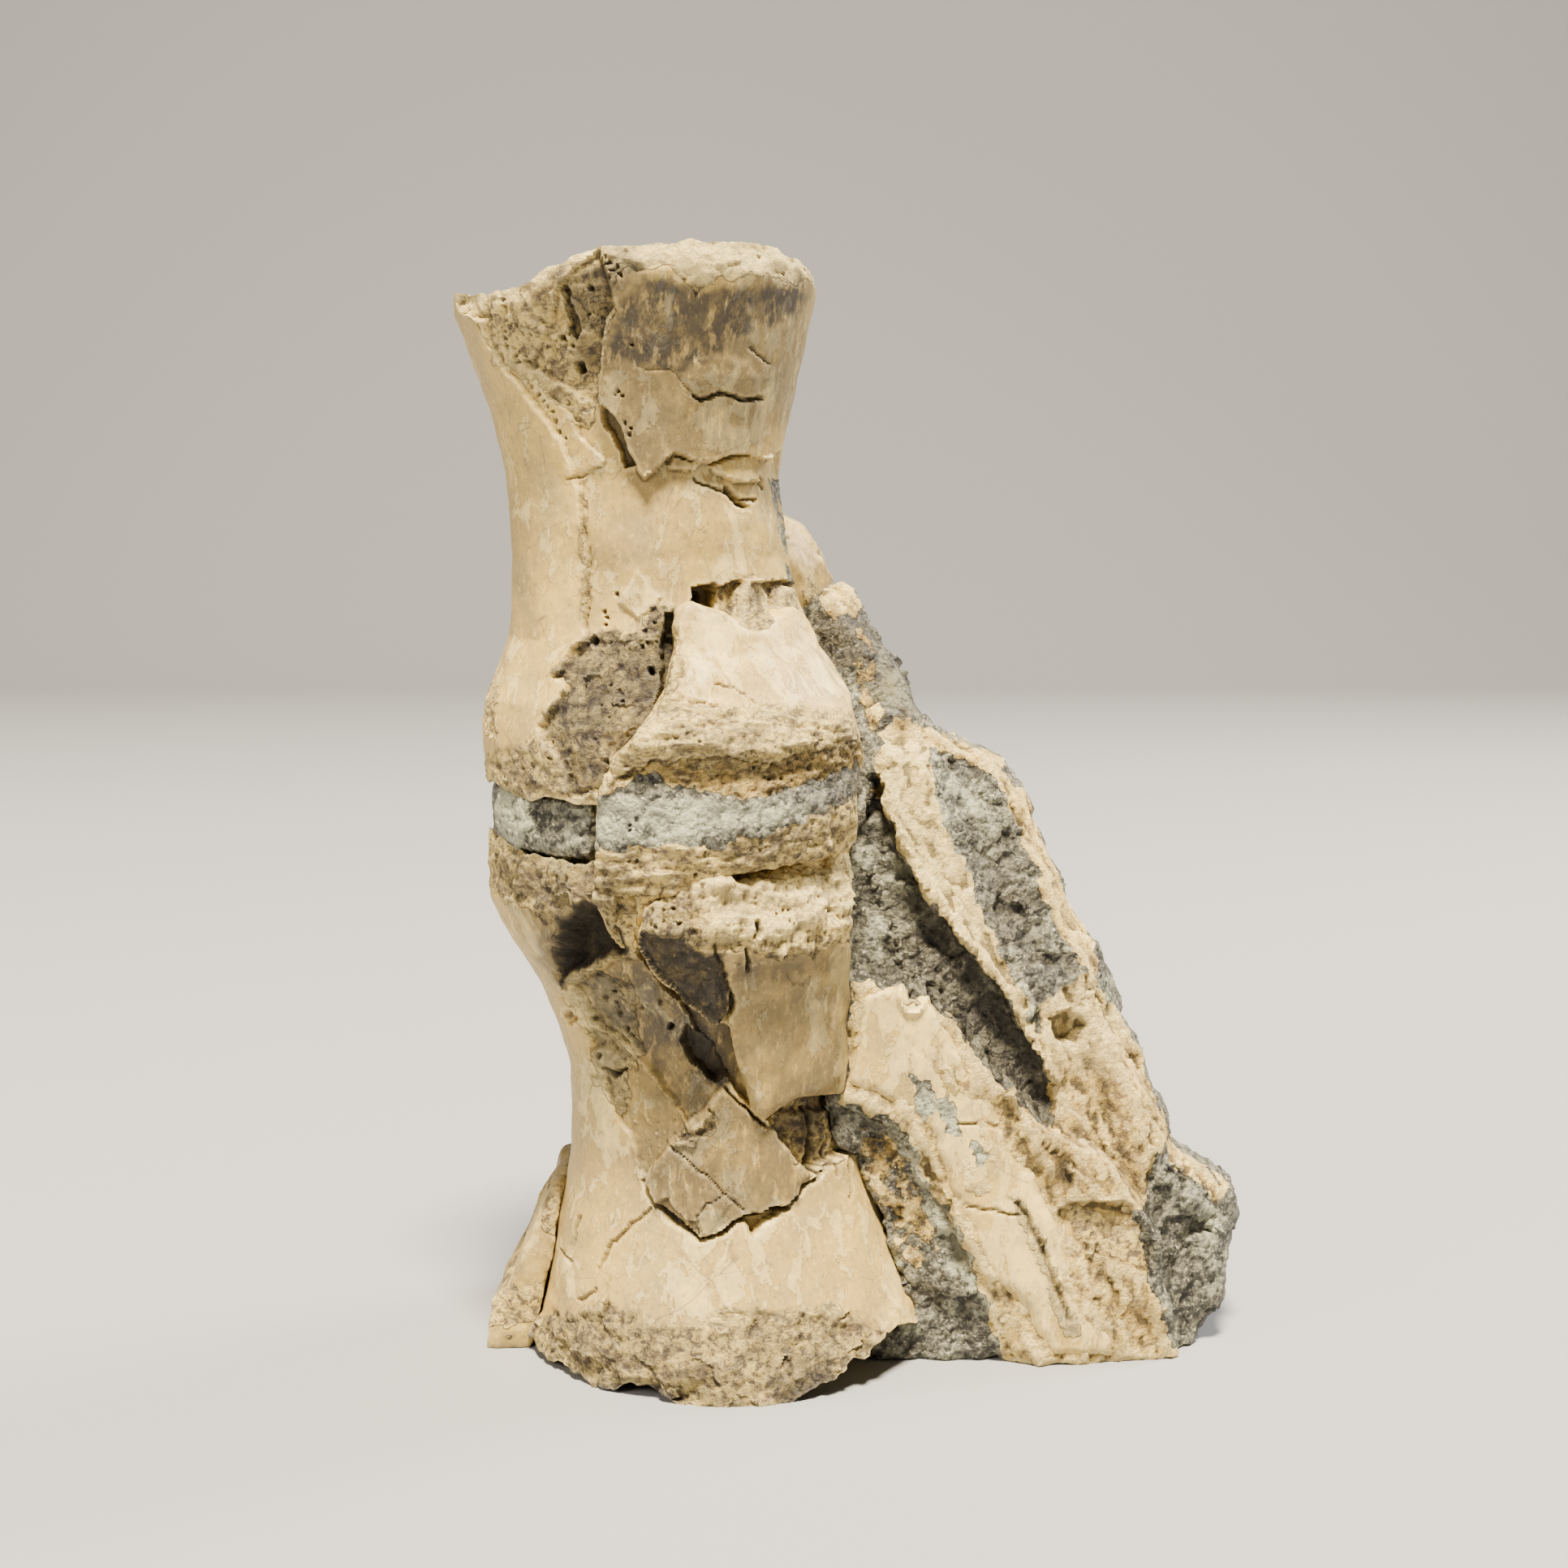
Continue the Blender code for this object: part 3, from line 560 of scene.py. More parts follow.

# %% [markdown]
# ### Broken bone
# Broken, bone is a mass of small cream crumbs with brown between them, and it comes away in scales.
# The largest crumbs are in the mesh. The rest are smaller than its faces, so colour and bump make
# them. The brown in their low places is partly their own colour and partly painted shade. A scale's
# edge is where cloudy noise passes a certain value, and a painted highlight runs along it as a pale
# lip. Crests are lightened too, with painted highlight and some wear.

# %% Bone group: broken bone
mottle = pattern(bone, 2.6, 5.0, (1, 1, 1.6), 0.66)
sponge = pattern(bone, 1.3, 5.0, (1, 1, 1.0), 0.74, 0.6)
crumb = speckles(bone, 0.95, "Distance", 1.0)
rise = plus(bone, times(bone, crumb, -0.2), times(bone, sponge, 1.2))
patch = pattern(bone, 4.5, 5.0, (1.3, 1.3, 0.7), 0.72, 0.8)
# brown where the crumbs and the scales lie low: partly their own colour, partly painted shade
spongy = tint(bone, BROWN, CREAM, rise, 0.36, 0.58)
spongy = tint(bone, spongy, BROWN, patch, 0.52, 0.38, 0.8)
scale_edges = plus(bone, ramp(bone, patch, 0.475, 0.485), ramp(bone, patch, 0.555, 0.565),
                   ramp(bone, mottle, 0.46, 0.475, 0.0, 0.7), ramp(bone, mottle, 0.56, 0.575, 0.0, 0.7))
# a pale lip on the high side of each scale's edge: painted highlight
lip_highlight = plus(bone, ramp(bone, patch, 0.485, 0.505, 1.0, 0.0), ramp(bone, patch, 0.47, 0.48, -1.0, 0.0))
spongy = blend_colours(bone, times(bone, lip_highlight, 0.5, clamp=True), spongy, WHITE_CREAM)
spongy = blend_colours(bone, times(bone, painted["Pale"], 0.7), spongy, WHITE_CREAM)
broken = ramp(bone, plus(bone, painted["Broken"], swing(bone, sponge, 0.5)), 0.38, 0.62)
colour = blend_colours(bone, times(bone, broken, 0.95), colour, spongy)
# pale crests of broken bone: painted highlight, with some wear
crest_wear_and_highlight = times(bone, ramp(bone, painted["Pit"], 0.47, 0.15), ramp(bone, broken, 0.0, 1.0, 0.25, 0.5))
colour = blend_colours(bone, crest_wear_and_highlight, colour, WHITE_CREAM)
print("with broken bone:", len(bone.nodes), "nodes")

# %% [markdown]
# ### Stain, dirt and painted shade
# A grey-brown film darkens parts of the bone: partly a stain, and partly painted shade where the bone
# is dark from the way light falls on it. A plain mix would cover the patches like paint, so the film
# multiplies the colour below it, and it is thinner on the fibres. Pits and hollows are darkened with
# painted shade and some dirt, which hides what is below it.

# %% Bone group: stain, dirt and painted shade
fibres = pattern(bone, 1.1, 4.0, (1, 1, 3.0), 0.66)
# the stain share here is partly a stain and partly painted shade
stain_and_shade_film = times(bone, painted["Stain_and_shade"], ramp(bone, mottle, 0.44, 0.68, 1.0, 0.65))
stain_and_shade_film = times(bone, stain_and_shade_film, ramp(bone, fibres, 0.55, 0.66, 1.0, ramp(bone, broken, 0.0, 1.0, 0.5, 0.9)))
colour = blend_colours(bone, stain_and_shade_film, colour, STAIN_AND_SHADE_FILM, "MULTIPLY")
# pits and hollows darkened: painted shade, with some dirt
dirt_and_shade = calculate(bone, "MAXIMUM", ramp(bone, painted["Pit"], 0.56, 0.95, 0.0, 0.55),
                 ramp(bone, painted["Hollow"], 0.68, 1.0, 0.0, 0.45))
colour = blend_colours(bone, calculate(bone, "MAXIMUM", dirt_and_shade, painted["Dirt_and_shade"]), colour, SHADE_AND_DIRT_BROWN)
feed(bone, result.inputs["Color"], colour)
feed(bone, result.inputs["Roughness"], ramp(bone, painted["Broken"], 0.0, 1.0, 0.5, 0.85))
print("with stain and dirt:", len(bone.nodes), "nodes")

# %% [markdown]
# The height is in millimetres: a film a few hundredths thick on whole bone, and crumbs and scales of
# up to a millimetre where it is broken. True displacement would need millions of faces for that, so
# only the bump reads it.

# %% Bone group: height
rough_height = times(bone, plus(bone, times(bone, scale_edges, 0.13), times(bone, rise, 0.8)), broken)
film_height = times(bone, ramp(bone, flaking, 0.54, 0.565, 0.0, 0.05),
                    calculate(bone, "SUBTRACT", 1.0, broken))
fine_height = times(bone, plus(bone, fibres, peppering), 0.05)
feed(bone, result.inputs["Height"], plus(bone, rough_height, film_height, fine_height))
print("bone group:", len(bone.nodes), "nodes")

# %% [markdown]
# ### Rock
# The rock is a dark grey limestone that breaks in small chips, with blue-grey patches and bright
# grains. Noise alone would look like cloud, without edges. Voronoi cells, nudged by noise, are chips:
# each has a tone of its own.

# %% Rock group
DARK_ROCK, MID_ROCK, BLUE_ROCK = (0.034, 0.033, 0.029), (0.205, 0.197, 0.15), (0.36, 0.365, 0.265)
CRUST, DEEP_CRUST, BRIGHT_GRAIN = (0.76, 0.545, 0.175), (0.22, 0.155, 0.080), (0.80, 0.78, 0.62)
ROCK_STAIN_AND_SHADE, ROCK_SHADE_AND_DIRT = (0.25, 0.21, 0.18), (0.014, 0.012, 0.010)

rock, given, result = new_group("dark limestone", INPUTS, RESULTS)
painted = given.outputs
grit = pattern(rock, 0.8, 4.0, (1, 1, 1), 0.74)
chip, chip_tone = speckles(rock, 2.3, "Distance", 0.9), speckles(rock, 2.3, "Color", 0.9)
small_chip, small_tone = speckles(rock, 0.9, "Distance", 0.9), speckles(rock, 0.9, "Color", 0.9)
shade = plus(rock, grit, swing(rock, small_tone, 0.22), swing(rock, chip_tone, 0.14))
colour = tint(rock, DARK_ROCK, MID_ROCK, shade, 0.36, 0.66)
patches = plus(rock, pattern(rock, 8.0, 6.0, (1, 1, 1), 0.62, 0.6), times(rock, painted["Pale"], 0.28),
               swing(rock, shade, 0.3))
colour = tint(rock, colour, BLUE_ROCK, patches, 0.50, 0.76, 0.85)
colour = tint(rock, colour, DARK_ROCK, shade, 0.45, 0.30, 0.8)
colour = tint(rock, colour, BRIGHT_GRAIN, pattern(rock, 0.40, 1.0), 0.69, 0.75, 0.7)
print("fresh rock:", len(rock.nodes), "nodes")

# %% [markdown]
# ### The rock's crust
# Where the rock has weathered it wears a sandy tan crust, in thin layers. It could be a mesh of its
# own over the rock, but its edge would have to be hidden everywhere. So the marks paint where the crust
# is, and noise breaks up its edge.

# %% Rock group: crust
crusted = plus(rock, pattern(rock, 3.5, 5.0, (1, 1, 1), 0.65), times(rock, painted["Broken"], 0.9), -0.34,
               swing(rock, grit, 0.2))
on_crust = ramp(rock, crusted, 0.47, 0.55)
sand = pattern(rock, 1.5, 5.0, (1, 1, 1), 0.74, 0.6)
layers = pattern(rock, 5.0, 5.0, (1, 1, 1), 0.70, 0.8)
# browner where the crust's sand and layers lie low: partly its own colour, partly painted shade
crust_colour = tint(rock, DEEP_CRUST, CRUST, sand, 0.38, 0.54)
crust_colour = tint(rock, crust_colour, DEEP_CRUST, layers, 0.50, 0.38, 0.85)
crust_colour = tint(rock, crust_colour, WHITE_CREAM, small_tone, 0.66, 0.8, 0.35)
# paler on the crust's crests: painted highlight, with some wear
crust_colour = tint(rock, crust_colour, WHITE_CREAM, painted["Pit"], 0.47, 0.25, 0.6)
crust_colour = blend_colours(rock, times(rock, painted["Pale"], 0.78), crust_colour, WHITE_CREAM)
colour = blend_colours(rock, on_crust, colour, crust_colour)
# the stain share: partly a stain, partly painted shade
colour = blend_colours(rock, painted["Stain_and_shade"], colour, ROCK_STAIN_AND_SHADE, "MULTIPLY")
# pits and hollows darkened: painted shade, with some dirt
dirt_and_shade = calculate(rock, "MAXIMUM", ramp(rock, painted["Pit"], 0.54, 0.85, 0.0, 0.7),
                 ramp(rock, painted["Hollow"], 0.68, 1.0, 0.0, 0.45))
colour = blend_colours(rock, calculate(rock, "MAXIMUM", dirt_and_shade, painted["Dirt_and_shade"]), colour, ROCK_SHADE_AND_DIRT)
feed(rock, result.inputs["Color"], colour)
feed(rock, result.inputs["Roughness"], ramp(rock, on_crust, 0.0, 1.0, 0.45, 0.85))
print("with its crust:", len(rock.nodes), "nodes")

# %% Rock group: height
steps = plus(rock, ramp(rock, layers, 0.46, 0.47), ramp(rock, layers, 0.55, 0.56),
             ramp(rock, sand, 0.50, 0.53, 0.0, 0.6))
chip_height = plus(rock, times(rock, chip, -0.9), times(rock, small_chip, -0.35))
crust_height = plus(rock, times(rock, steps, 0.3), times(rock, sand, 1.1), times(rock, small_chip, -0.25))
rock_height = plus(rock, times(rock, grit, 0.5), ramp(rock, on_crust, 0, 1, chip_height, crust_height))
feed(rock, result.inputs["Height"], rock_height)
print("rock group:", len(rock.nodes), "nodes")

# %% [markdown]
# ### The two materials
# Both materials hold both groups, and the painted share called rock says which one shows, with noise
# to make the border ragged. They differ only in name, one for pieces of bone and one for rock. The
# shader stands in the material itself, because a group gives out only colours and values.

# %% Materials
def fossil_material(name):
    made = bpy.data.materials.new(name)
    made.use_nodes = True
    tree = made.node_tree
    shader = tree.nodes["Principled BSDF"]
    groups = []
    for group in (bone, rock):
        placed = tree.nodes.new("ShaderNodeGroup")
        placed.node_tree = group
        groups.append(placed)
    for label in SHARES:
        read = tree.nodes.new("ShaderNodeAttribute")
        read.attribute_name = label.lower()
        for placed in groups:
            tree.links.new(read.outputs["Fac"], placed.inputs[label])
    read = tree.nodes.new("ShaderNodeAttribute")
    read.attribute_name = "rock"
    ragged = plus(tree, read.outputs["Fac"], swing(tree, pattern(tree, 2.0, 5.0, roughness=0.65), 0.8))
    share = ramp(tree, ragged, 0.42, 0.58)
    of_bone, of_rock = (placed.outputs for placed in groups)
    feed(tree, shader.inputs["Base Color"], blend_colours(tree, share, of_bone["Color"], of_rock["Color"]))
    feed(tree, shader.inputs["Roughness"],
         ramp(tree, share, 0, 1, of_bone["Roughness"], of_rock["Roughness"]))
    bump = tree.nodes.new("ShaderNodeBump")
    feed(tree, bump.inputs["Strength"], 1.0)
    feed(tree, bump.inputs["Distance"], MM)
    feed(tree, bump.inputs["Height"], ramp(tree, share, 0, 1, of_bone["Height"], of_rock["Height"]))
    feed(tree, shader.inputs["Normal"], bump.outputs[0])
    feed(tree, shader.inputs["Specular IOR Level"], 0.3)
    return made


bone_finish = fossil_material("fossil bone")
rock_finish = fossil_material("dark limestone")
print("materials:", bone_finish.name, "and", rock_finish.name)

# %% [markdown]
# ## The two spool-shaped bones
# Each bone is a drum with a waist and hollowed ends. It could be spun from one side line, but then left
# and right would match, and they don't. A sphere from create_uvsphere has the right layout: rings up
# its side, and two poles that become the middles of the end faces. Its points are moved to the bone's
# own side lines, and crowd towards the front, where the detail is.

# %% The bones' side lines and rims
SHIFT = np.array([0.4, -7.4, 0.0])  # from the column's own middle line to the frame's origin
UPPER_LEFT = [(74, -49.5), (78, -50.1), (83.4, -50.3), (89, -49.7), (93, -48.3), (97.5, -46.8),
              (103, -46.4), (110.5, -46.3), (116, -46.6), (122, -47.6), (128.5, -49), (133, -50.6),
              (137, -52.2), (140.5, -53.5)]
UPPER_RIGHT = [(74, -0.5), (80, -0.3), (85.5, -1.5), (90, -4), (95, -6.5), (99.5, -8.4), (105, -9.8),
               (110.5, -10.4), (116, -10.8), (121.5, -10.2), (126.5, -9), (131.5, -7.8), (137, -6.7),
               (141, -5.9), (143.6, -6.3)]
LOWER_LEFT = [(-2, -44.2), (3, -43.8), (10, -42.6), (17, -41.2), (24, -39.8), (29, -39.2), (35, -39),
              (40.5, -39.4), (45.5, -40.7), (51, -43), (56, -46.1), (59.5, -48.4), (63, -49.7),
              (67.5, -49.8), (72, -49.4)]
LOWER_RIGHT = [(-2, 9.6), (1, 9), (5.5, 6.8), (11, 4.5), (17, 2.2), (22.5, 0.5), (28, -0.6), (35, -1.3),
               (45, -1.6), (54, -1.6), (61.5, -1.8), (66, -1.6), (72, -1.2)]
UPPER_TOP_RIM = [(-53.5, 140), (-47, 139.2), (-42, 139.8), (-40, 141.6), (-37, 142.8), (-33, 143.8),
                 (-27, 144.5), (-22, 144.8), (-17, 144.8), (-11, 144.8), (-8, 144.4), (-5.5, 142.8)]
UPPER_BOTTOM_RIM = [(-50, 77), (-43, 76), (-33.5, 75.5), (-27.5, 77.5), (-17, 77), (-7, 78.5), (0, 80)]
LOWER_TOP_RIM = [(-50, 70), (-42, 69.6), (-34, 69), (-22.5, 68), (-12, 69.5), (0, 73)]
LOWER_BOTTOM_RIM = [(-44, 0.8), (-41.5, 0.2), (-28, 0), (-11, 0), (-6.8, 1.2), (-1.5, 3.2), (3, 5),
                    (9, 5.6)]
ROUNDNESS = 0.94  # depth from front to back, as a share of the width
DISH = 6.5  # millimetres that an end face is hollowed out
WALL_SHARE = 0.8  # of the ball's rings, which become the wall
CROWDING = 0.45  # of the points towards the front, in radians at the sides
AROUND, RINGS = 330, 288  # points in a ring, and rings from pole to pole
RIM_REACH, BEVEL_REACH = 3.0, 2.2  # millimetres up or down from a rim
SIDES, FADE = 2.0, 12.0  # marks end that far behind the middle line, and fade over that length


def along(points, at):
    """The value at each place along a line of (place, value) points."""
    places, values = zip(*points)
    return np.interp(at, places, values)


for name, left, right in (("upper", UPPER_LEFT, UPPER_RIGHT), ("lower", LOWER_LEFT, LOWER_RIGHT)):
    heights = np.linspace(left[0][0], left[-1][0], 100)
    widths = along(right, heights) - along(left, heights)
    print("the", name, "bone is", round(widths.min(), 1), "mm wide at its waist and",
          round(widths.max(), 1), "mm at its widest")


# %% [markdown]
# ### From a ball to a bone
# How high a point lies on the ball says whether it belongs to the wall or to an end face. The wall
# takes its width from the side lines and its ends from the rims. The end faces are drawn in towards
# their middles, hollowed out and roughened. Marks and relief reach the wall only.

# %% Turn a ball into a bone
def spool(name, left, right, bottom_rim, top_rim, marks, seed, relief, ragged_rim, top_bevel, foot_dish):
    """A marked bone and its shares. relief(points, shares, outward) says how far each point is raised."""
    bm = bmesh.new()
    bmesh.ops.create_uvsphere(bm, u_segments=AROUND, v_segments=RINGS, radius=1)
    mesh = bpy.data.meshes.new(name)
    bm.to_mesh(mesh)
    bm.free()
    ball = points_of(mesh) * MM
    # how far each point is round from the front, up the wall, and in towards a pole
    from_front = np.arctan2(ball[:, 0], -ball[:, 1])
    from_front -= CROWDING * np.sin(from_front)
    lift = np.arcsin(np.clip(ball[:, 2], -1, 1)) / (math.pi / 2)
    wall = np.clip(lift / WALL_SHARE, -1, 1) / 2 + 0.5
    face = np.clip((1 - np.abs(lift)) / (1 - WALL_SHARE), 0, 1)
    # its place on the smooth bone, between the side lines and between the rims
    height = np.interp(wall, [0, 1], [left[0][0] + 3, right[-1][0] - 1])
    low, high = along(left, height), along(right, height)
    middle, half = (low + high) / 2, (high - low) / 2
    x, y = middle + half * np.sin(from_front), -ROUNDNESS * half * np.cos(from_front)
    bottom, top = (along(rim, x) * face + along(rim, middle) * (1 - face) for rim in (bottom_rim, top_rim))
    z = bottom + wall * (top - bottom)
    skin = np.column_stack([x, y, z])
    for rim, side in ((bottom, 1), (top, -1)):
        near = np.exp(-((z - rim) / RIM_REACH) ** 2) * face
        z = z + near * ragged_rim * (lumps(skin, 6.0, seed + 50, 5) + side * 0.25)
    skin = np.column_stack([x, y, z]) + SHIFT
    # marks and relief, on the wall only
    depth, shares = marked(skin, (SIDES - y) / FADE, marks, seed)
    on_wall = step(face - 0.85, 0.12)
    depth = depth * on_wall
    shares = {kind: share * on_wall for kind, share in shares.items()}
    outward = np.column_stack([x - middle, y / ROUNDNESS ** 2, 0 * z]) / half[:, None]
    bevel = top_bevel * step(x + 44, 10) * np.exp(-((top - z) / BEVEL_REACH) ** 2)
    depth = depth - relief(skin, shares, outward) + bevel
    # the end faces, drawn in, hollowed out and roughened
    reach = face * (1 - depth / half)
    hollow = np.where(lift > 0, DISH, -foot_dish) * (1 - face ** 2)
    points = np.column_stack([middle + (x - middle) * reach, y * reach, z - hollow]) + SHIFT
    crumbs = 1.2 * lumps(points, 8.0, seed + 9, 6) + 0.5 * chips(points, 4.0, seed + 15)
    points[:, 2] -= crumbs * step(1 - face, 0.2) * np.sign(lift)
    points[:, 2] = np.maximum(points[:, 2], 0.0)
    place_points(mesh, points)
    deepen(shares, "broken", step(1 - face, 0.1))
    return object_of(name, mesh), shares


# %% [markdown]
# ### The upper bone's marks
# Its outer layer survives as a plate at the top right and a strip down the left flank. Between them,
# at the top, the spongy inside shows, with crystals and round holes. Below the plate's broken edge
# the waist is one layer deeper, and lower still a rough scar bares the inside. All rims are spongy.
# Ledges overlap, so that the deepest one counts, and cracks and holes go deeper from there.

# %% Upper bone's marks
PLATE_EDGE = [(736, 496), (755, 514), (767, 535), (771, 553), (784, 572), (795, 587), (800, 584),
              (817, 565), (834, 557), (847, 560), (863, 569), (876, 568), (903, 559), (918, 557),
              (939, 562), (951, 562), (962, 553), (970, 538)]
PLATE_SIDE = [(736, 496), (741, 446), (744, 429), (747, 396), (757, 373), (752, 340), (738, 300)]
STRIP_EDGE = [(560, 372), (570, 388), (591, 397), (600, 424), (611, 447), (633, 471), (648, 487),
              (666, 512), (678, 528), (692, 552), (702, 576), (711, 612), (717, 652), (722, 690),
              (720, 748), (718, 790)]
BAND_EDGE = [(630, 440), (659, 475), (673, 490), (693, 506), (703, 520), (708, 540), (722, 553),
             (741, 567), (722, 581), (711, 592)]
WAIST = BAND_EDGE + STRIP_EDGE[11:] + [(1010, 790), (1010, 538)] + PLATE_EDGE[::-1]
SCAR = [(721, 785), (735, 783), (743, 775), (756, 782), (768, 785), (778, 778), (789, 760), (803, 753),
        (816, 745), (836, 748), (838, 783), (836, 819), (819, 846), (811, 866), (809, 884), (789, 914),
        (770, 935), (745, 975), (700, 985), (690, 940), (668, 912), (660, 897), (681, 864), (698, 842),
        (672, 836), (690, 824), (696, 809), (706, 795)]
SCAR_CRACK = [(816, 751), (846, 752), (848, 783), (846, 819), (832, 850), (824, 870), (816, 890),
              (797, 918), (770, 934), (762, 926), (785, 903), (799, 880), (811, 849), (814, 826),
              (812, 803)]
SCAR_SIDE = [(890, 722), (905, 714), (1000, 716), (1000, 785), (890, 785)]
PIERCED = [(613, 369), (614, 377), (616, 385), (621, 399), (616, 407), (616, 417), (617, 426), (624, 428),
           (625, 436), (631, 432), (629, 442), (637, 443), (646, 469), (651, 475), (658, 486), (666, 494),
           (671, 501), (678, 509), (682, 521), (686, 530), (692, 539), (742, 318), (748, 325), (754, 333),
           (761, 328), (752, 341), (764, 338), (748, 316), (759, 735), (745, 752), (747, 761), (744, 771),
           (761, 480), (765, 486), (758, 487), (779, 425), (780, 528), (776, 535), (771, 522)]
UPPER_MARKS = {
    "ledges": [
        (STRIP_EDGE + [(780, 790), (780, 600), (771, 553), (755, 514)] + PLATE_SIDE + [(600, 300)],
         0.8, 0.4),
        (WAIST + [(700, 440)], 1.5, 0.4),
        (PLATE_SIDE + [(700, 325), (680, 345), (672, 380), (655, 420), (640, 445), (700, 520), (716, 530)],
         1.5, 0.6),
        ([(679, 350), (688, 366), (693, 399), (697, 413), (706, 425), (712, 400), (700, 360), (690, 345)],
         2.6, 0.4),
        ([(731, 503), (738, 497), (757, 514), (768, 535), (773, 553), (786, 574), (765, 577), (761, 557),
          (750, 537), (738, 524)], 3.6, 0.4),
        (SCAR, 0.9, 0.5), (SCAR_CRACK, 3.6, 0.6),
        ([(850, 790), (1005, 790), (1052, 900), (1052, 1070), (750, 1070), (772, 965), (812, 900)],
         4.0, 0.8),
        ([(852, 722), (862, 716), (892, 720), (892, 748), (872, 760), (852, 745)], 5.0, 0.4),
        ([(1000, 790), (1000, 713), (960, 712), (925, 714), (905, 712), (890, 720), (840, 752), (840, 790)],
         2.6, 0.4),
    ],
    "tilts": [(WAIST, [(700, 520), (795, 587), (847, 560), (960, 556)], -0.9, 9.0)],
    "flakes": [([(905, 782), (909, 738), (916, 714), (936, 709), (946, 730), (957, 772), (945, 784)],
                2.2, 0.4),
               ([(957, 756), (962, 727), (972, 721), (991, 724), (1000, 748), (985, 762)], 1.7, 0.4),
               ([(757, 742), (770, 722), (783, 698), (800, 716), (817, 737), (812, 750), (789, 762),
                 (770, 754)], 0.5, 0.4),
               ([(838, 466), (848, 478), (855, 487), (862, 488), (875, 484), (890, 478), (905, 481),
                 (915, 488), (925, 488), (938, 485), (940, 462), (925, 440), (880, 430), (845, 445)],
                0.4, 1.6),
               ([(792, 585), (815, 574), (830, 579), (857, 580), (872, 572), (891, 583), (910, 597),
                 (945, 595), (951, 593), (962, 560), (918, 561), (876, 572), (834, 561), (800, 590)],
                0.8, 0.3)],
    "cracks": [([(785, 448), (800, 454), (822, 453), (832, 458), (838, 466), (848, 478), (855, 487)],
                2.2, 0.2),
               ([(855, 488), (862, 491), (875, 489), (890, 483), (905, 486), (915, 493), (925, 494),
                 (938, 489)], 3.6, 0.8),
               ([(926, 428), (936, 438), (947, 448)], 3.0, 0.5),
               ([(861, 590), (872, 598), (891, 605), (910, 613), (935, 616)], 3.2, 0.6),
               ([(904, 604), (916, 618), (924, 624)], 5.5, 1.4), ([(942, 588), (948, 600)], 4.0, 0.8),
               ([(700, 590), (712, 588), (736, 574)], 2.6, 0.4)],
    "rises": [([(755, 380), (748, 420), (740, 470)], 3.0, 0.25)],
    "holes": [((707, 451), 9, 2.6), ((684, 414), 6, 1.8), ((803, 829), 7, 1.6), ((728, 790), 7, 1.0),
              ((725, 353), 5, 0.8), ((872, 735), 9, 2.0)] + [(at, 3.0, 0.7) for at in PIERCED],
    "broken": [([(562, 372), (600, 350), (660, 330), (735, 300), (900, 285), (1015, 300), (1010, 345),
                 (985, 350), (945, 341), (900, 344), (870, 350), (858, 364), (848, 350), (825, 327),
                 (800, 327), (785, 335), (770, 330), (757, 350), (752, 373), (744, 429), (736, 500),
                 (716, 530), (700, 512), (659, 477), (611, 447), (600, 424), (591, 398), (570, 388)],
                0.9, 14),
               (SCAR, 1.0, 10),
               ([(598, 985), (598, 935), (640, 920), (668, 900), (700, 900), (750, 985)], 0.9, 24),
               ([(598, 900), (598, 830), (612, 840), (612, 930)], 0.8, 10),
               (SCAR_SIDE, 0.7, 6),
               ([(714, 600), (722, 610), (728, 740), (716, 760)], 0.5, 8)],
    # stain: partly a grey-brown stain and partly painted shade, darkest on the plate's top, which faces
    # down
    "stain_and_shade": [([(752, 372), (790, 335), (860, 352), (1000, 345), (990, 390), (930, 410), (890, 440),
                (845, 466), (820, 458), (780, 452), (744, 446)], 1.0, 24),
              ([(735, 500), (748, 360), (1010, 330), (985, 500), (940, 560), (790, 590)], 0.62, 36),
              ([(676, 345), (760, 300), (800, 330), (757, 373), (744, 429), (715, 470), (700, 430)],
               0.75, 20),
              ([(640, 350), (690, 360), (700, 420), (690, 500), (650, 470), (620, 430)], 0.15, 30),
              (SCAR, 0.9, 8), ([(720, 590), (965, 560), (965, 720), (850, 740), (720, 760)], 0.32, 30),
              ([(610, 930), (700, 900), (760, 925), (740, 985), (610, 985)], 0.5, 30),
              ([(714, 600), (722, 610), (728, 740), (718, 770)], 0.4, 8),
              (SCAR_SIDE, 0.3, 6)],
    "pale": [([(893, 612), (912, 625), (916, 652), (924, 690), (928, 708), (887, 710), (897, 673),
               (903, 645)], 1.0, 10),
             ([(855, 500), (960, 480), (965, 550), (850, 556)], 0.6, 30),
             ([(592, 398), (640, 440), (700, 512), (690, 530), (640, 480), (600, 440)], 0.6, 10),
             ([(760, 750), (783, 700), (812, 740), (789, 762)], 0.7, 8),
             # the top rim: pale cream, partly its own colour and partly a painted highlight where light
             # falls on it
             ([(552, 380), (560, 360), (640, 320), (740, 285), (900, 270), (1020, 290), (1012, 340),
               (985, 345), (945, 338), (900, 340), (862, 352), (825, 325), (785, 330), (770, 325),
               (740, 305), (700, 325), (640, 350), (600, 372)], 1.0, 16)],
    # dark: painted shade in the scar's deep crack and in a deep pit
    "dark": [(SCAR_CRACK, 0.6, 8), ([(860, 724), (888, 722), (886, 750), (862, 746)], 0.9, 6)],
    "rock": [([(958, 590), (1000, 580), (1010, 760), (990, 760), (976, 700), (964, 640)], 0.85, 20),
             ([(677, 352), (690, 372), (694, 410), (684, 402), (672, 380)], 1.0, 6)],
}
count_marks("upper bone", UPPER_MARKS)

# %% [markdown]
# The inside of a bone is a sponge of thin walls, so where it is broken the surface is crumbs and
# chips, with pores here and there. One kind of noise would look like dough, so three are mixed. The
# same relief serves every piece of bone.

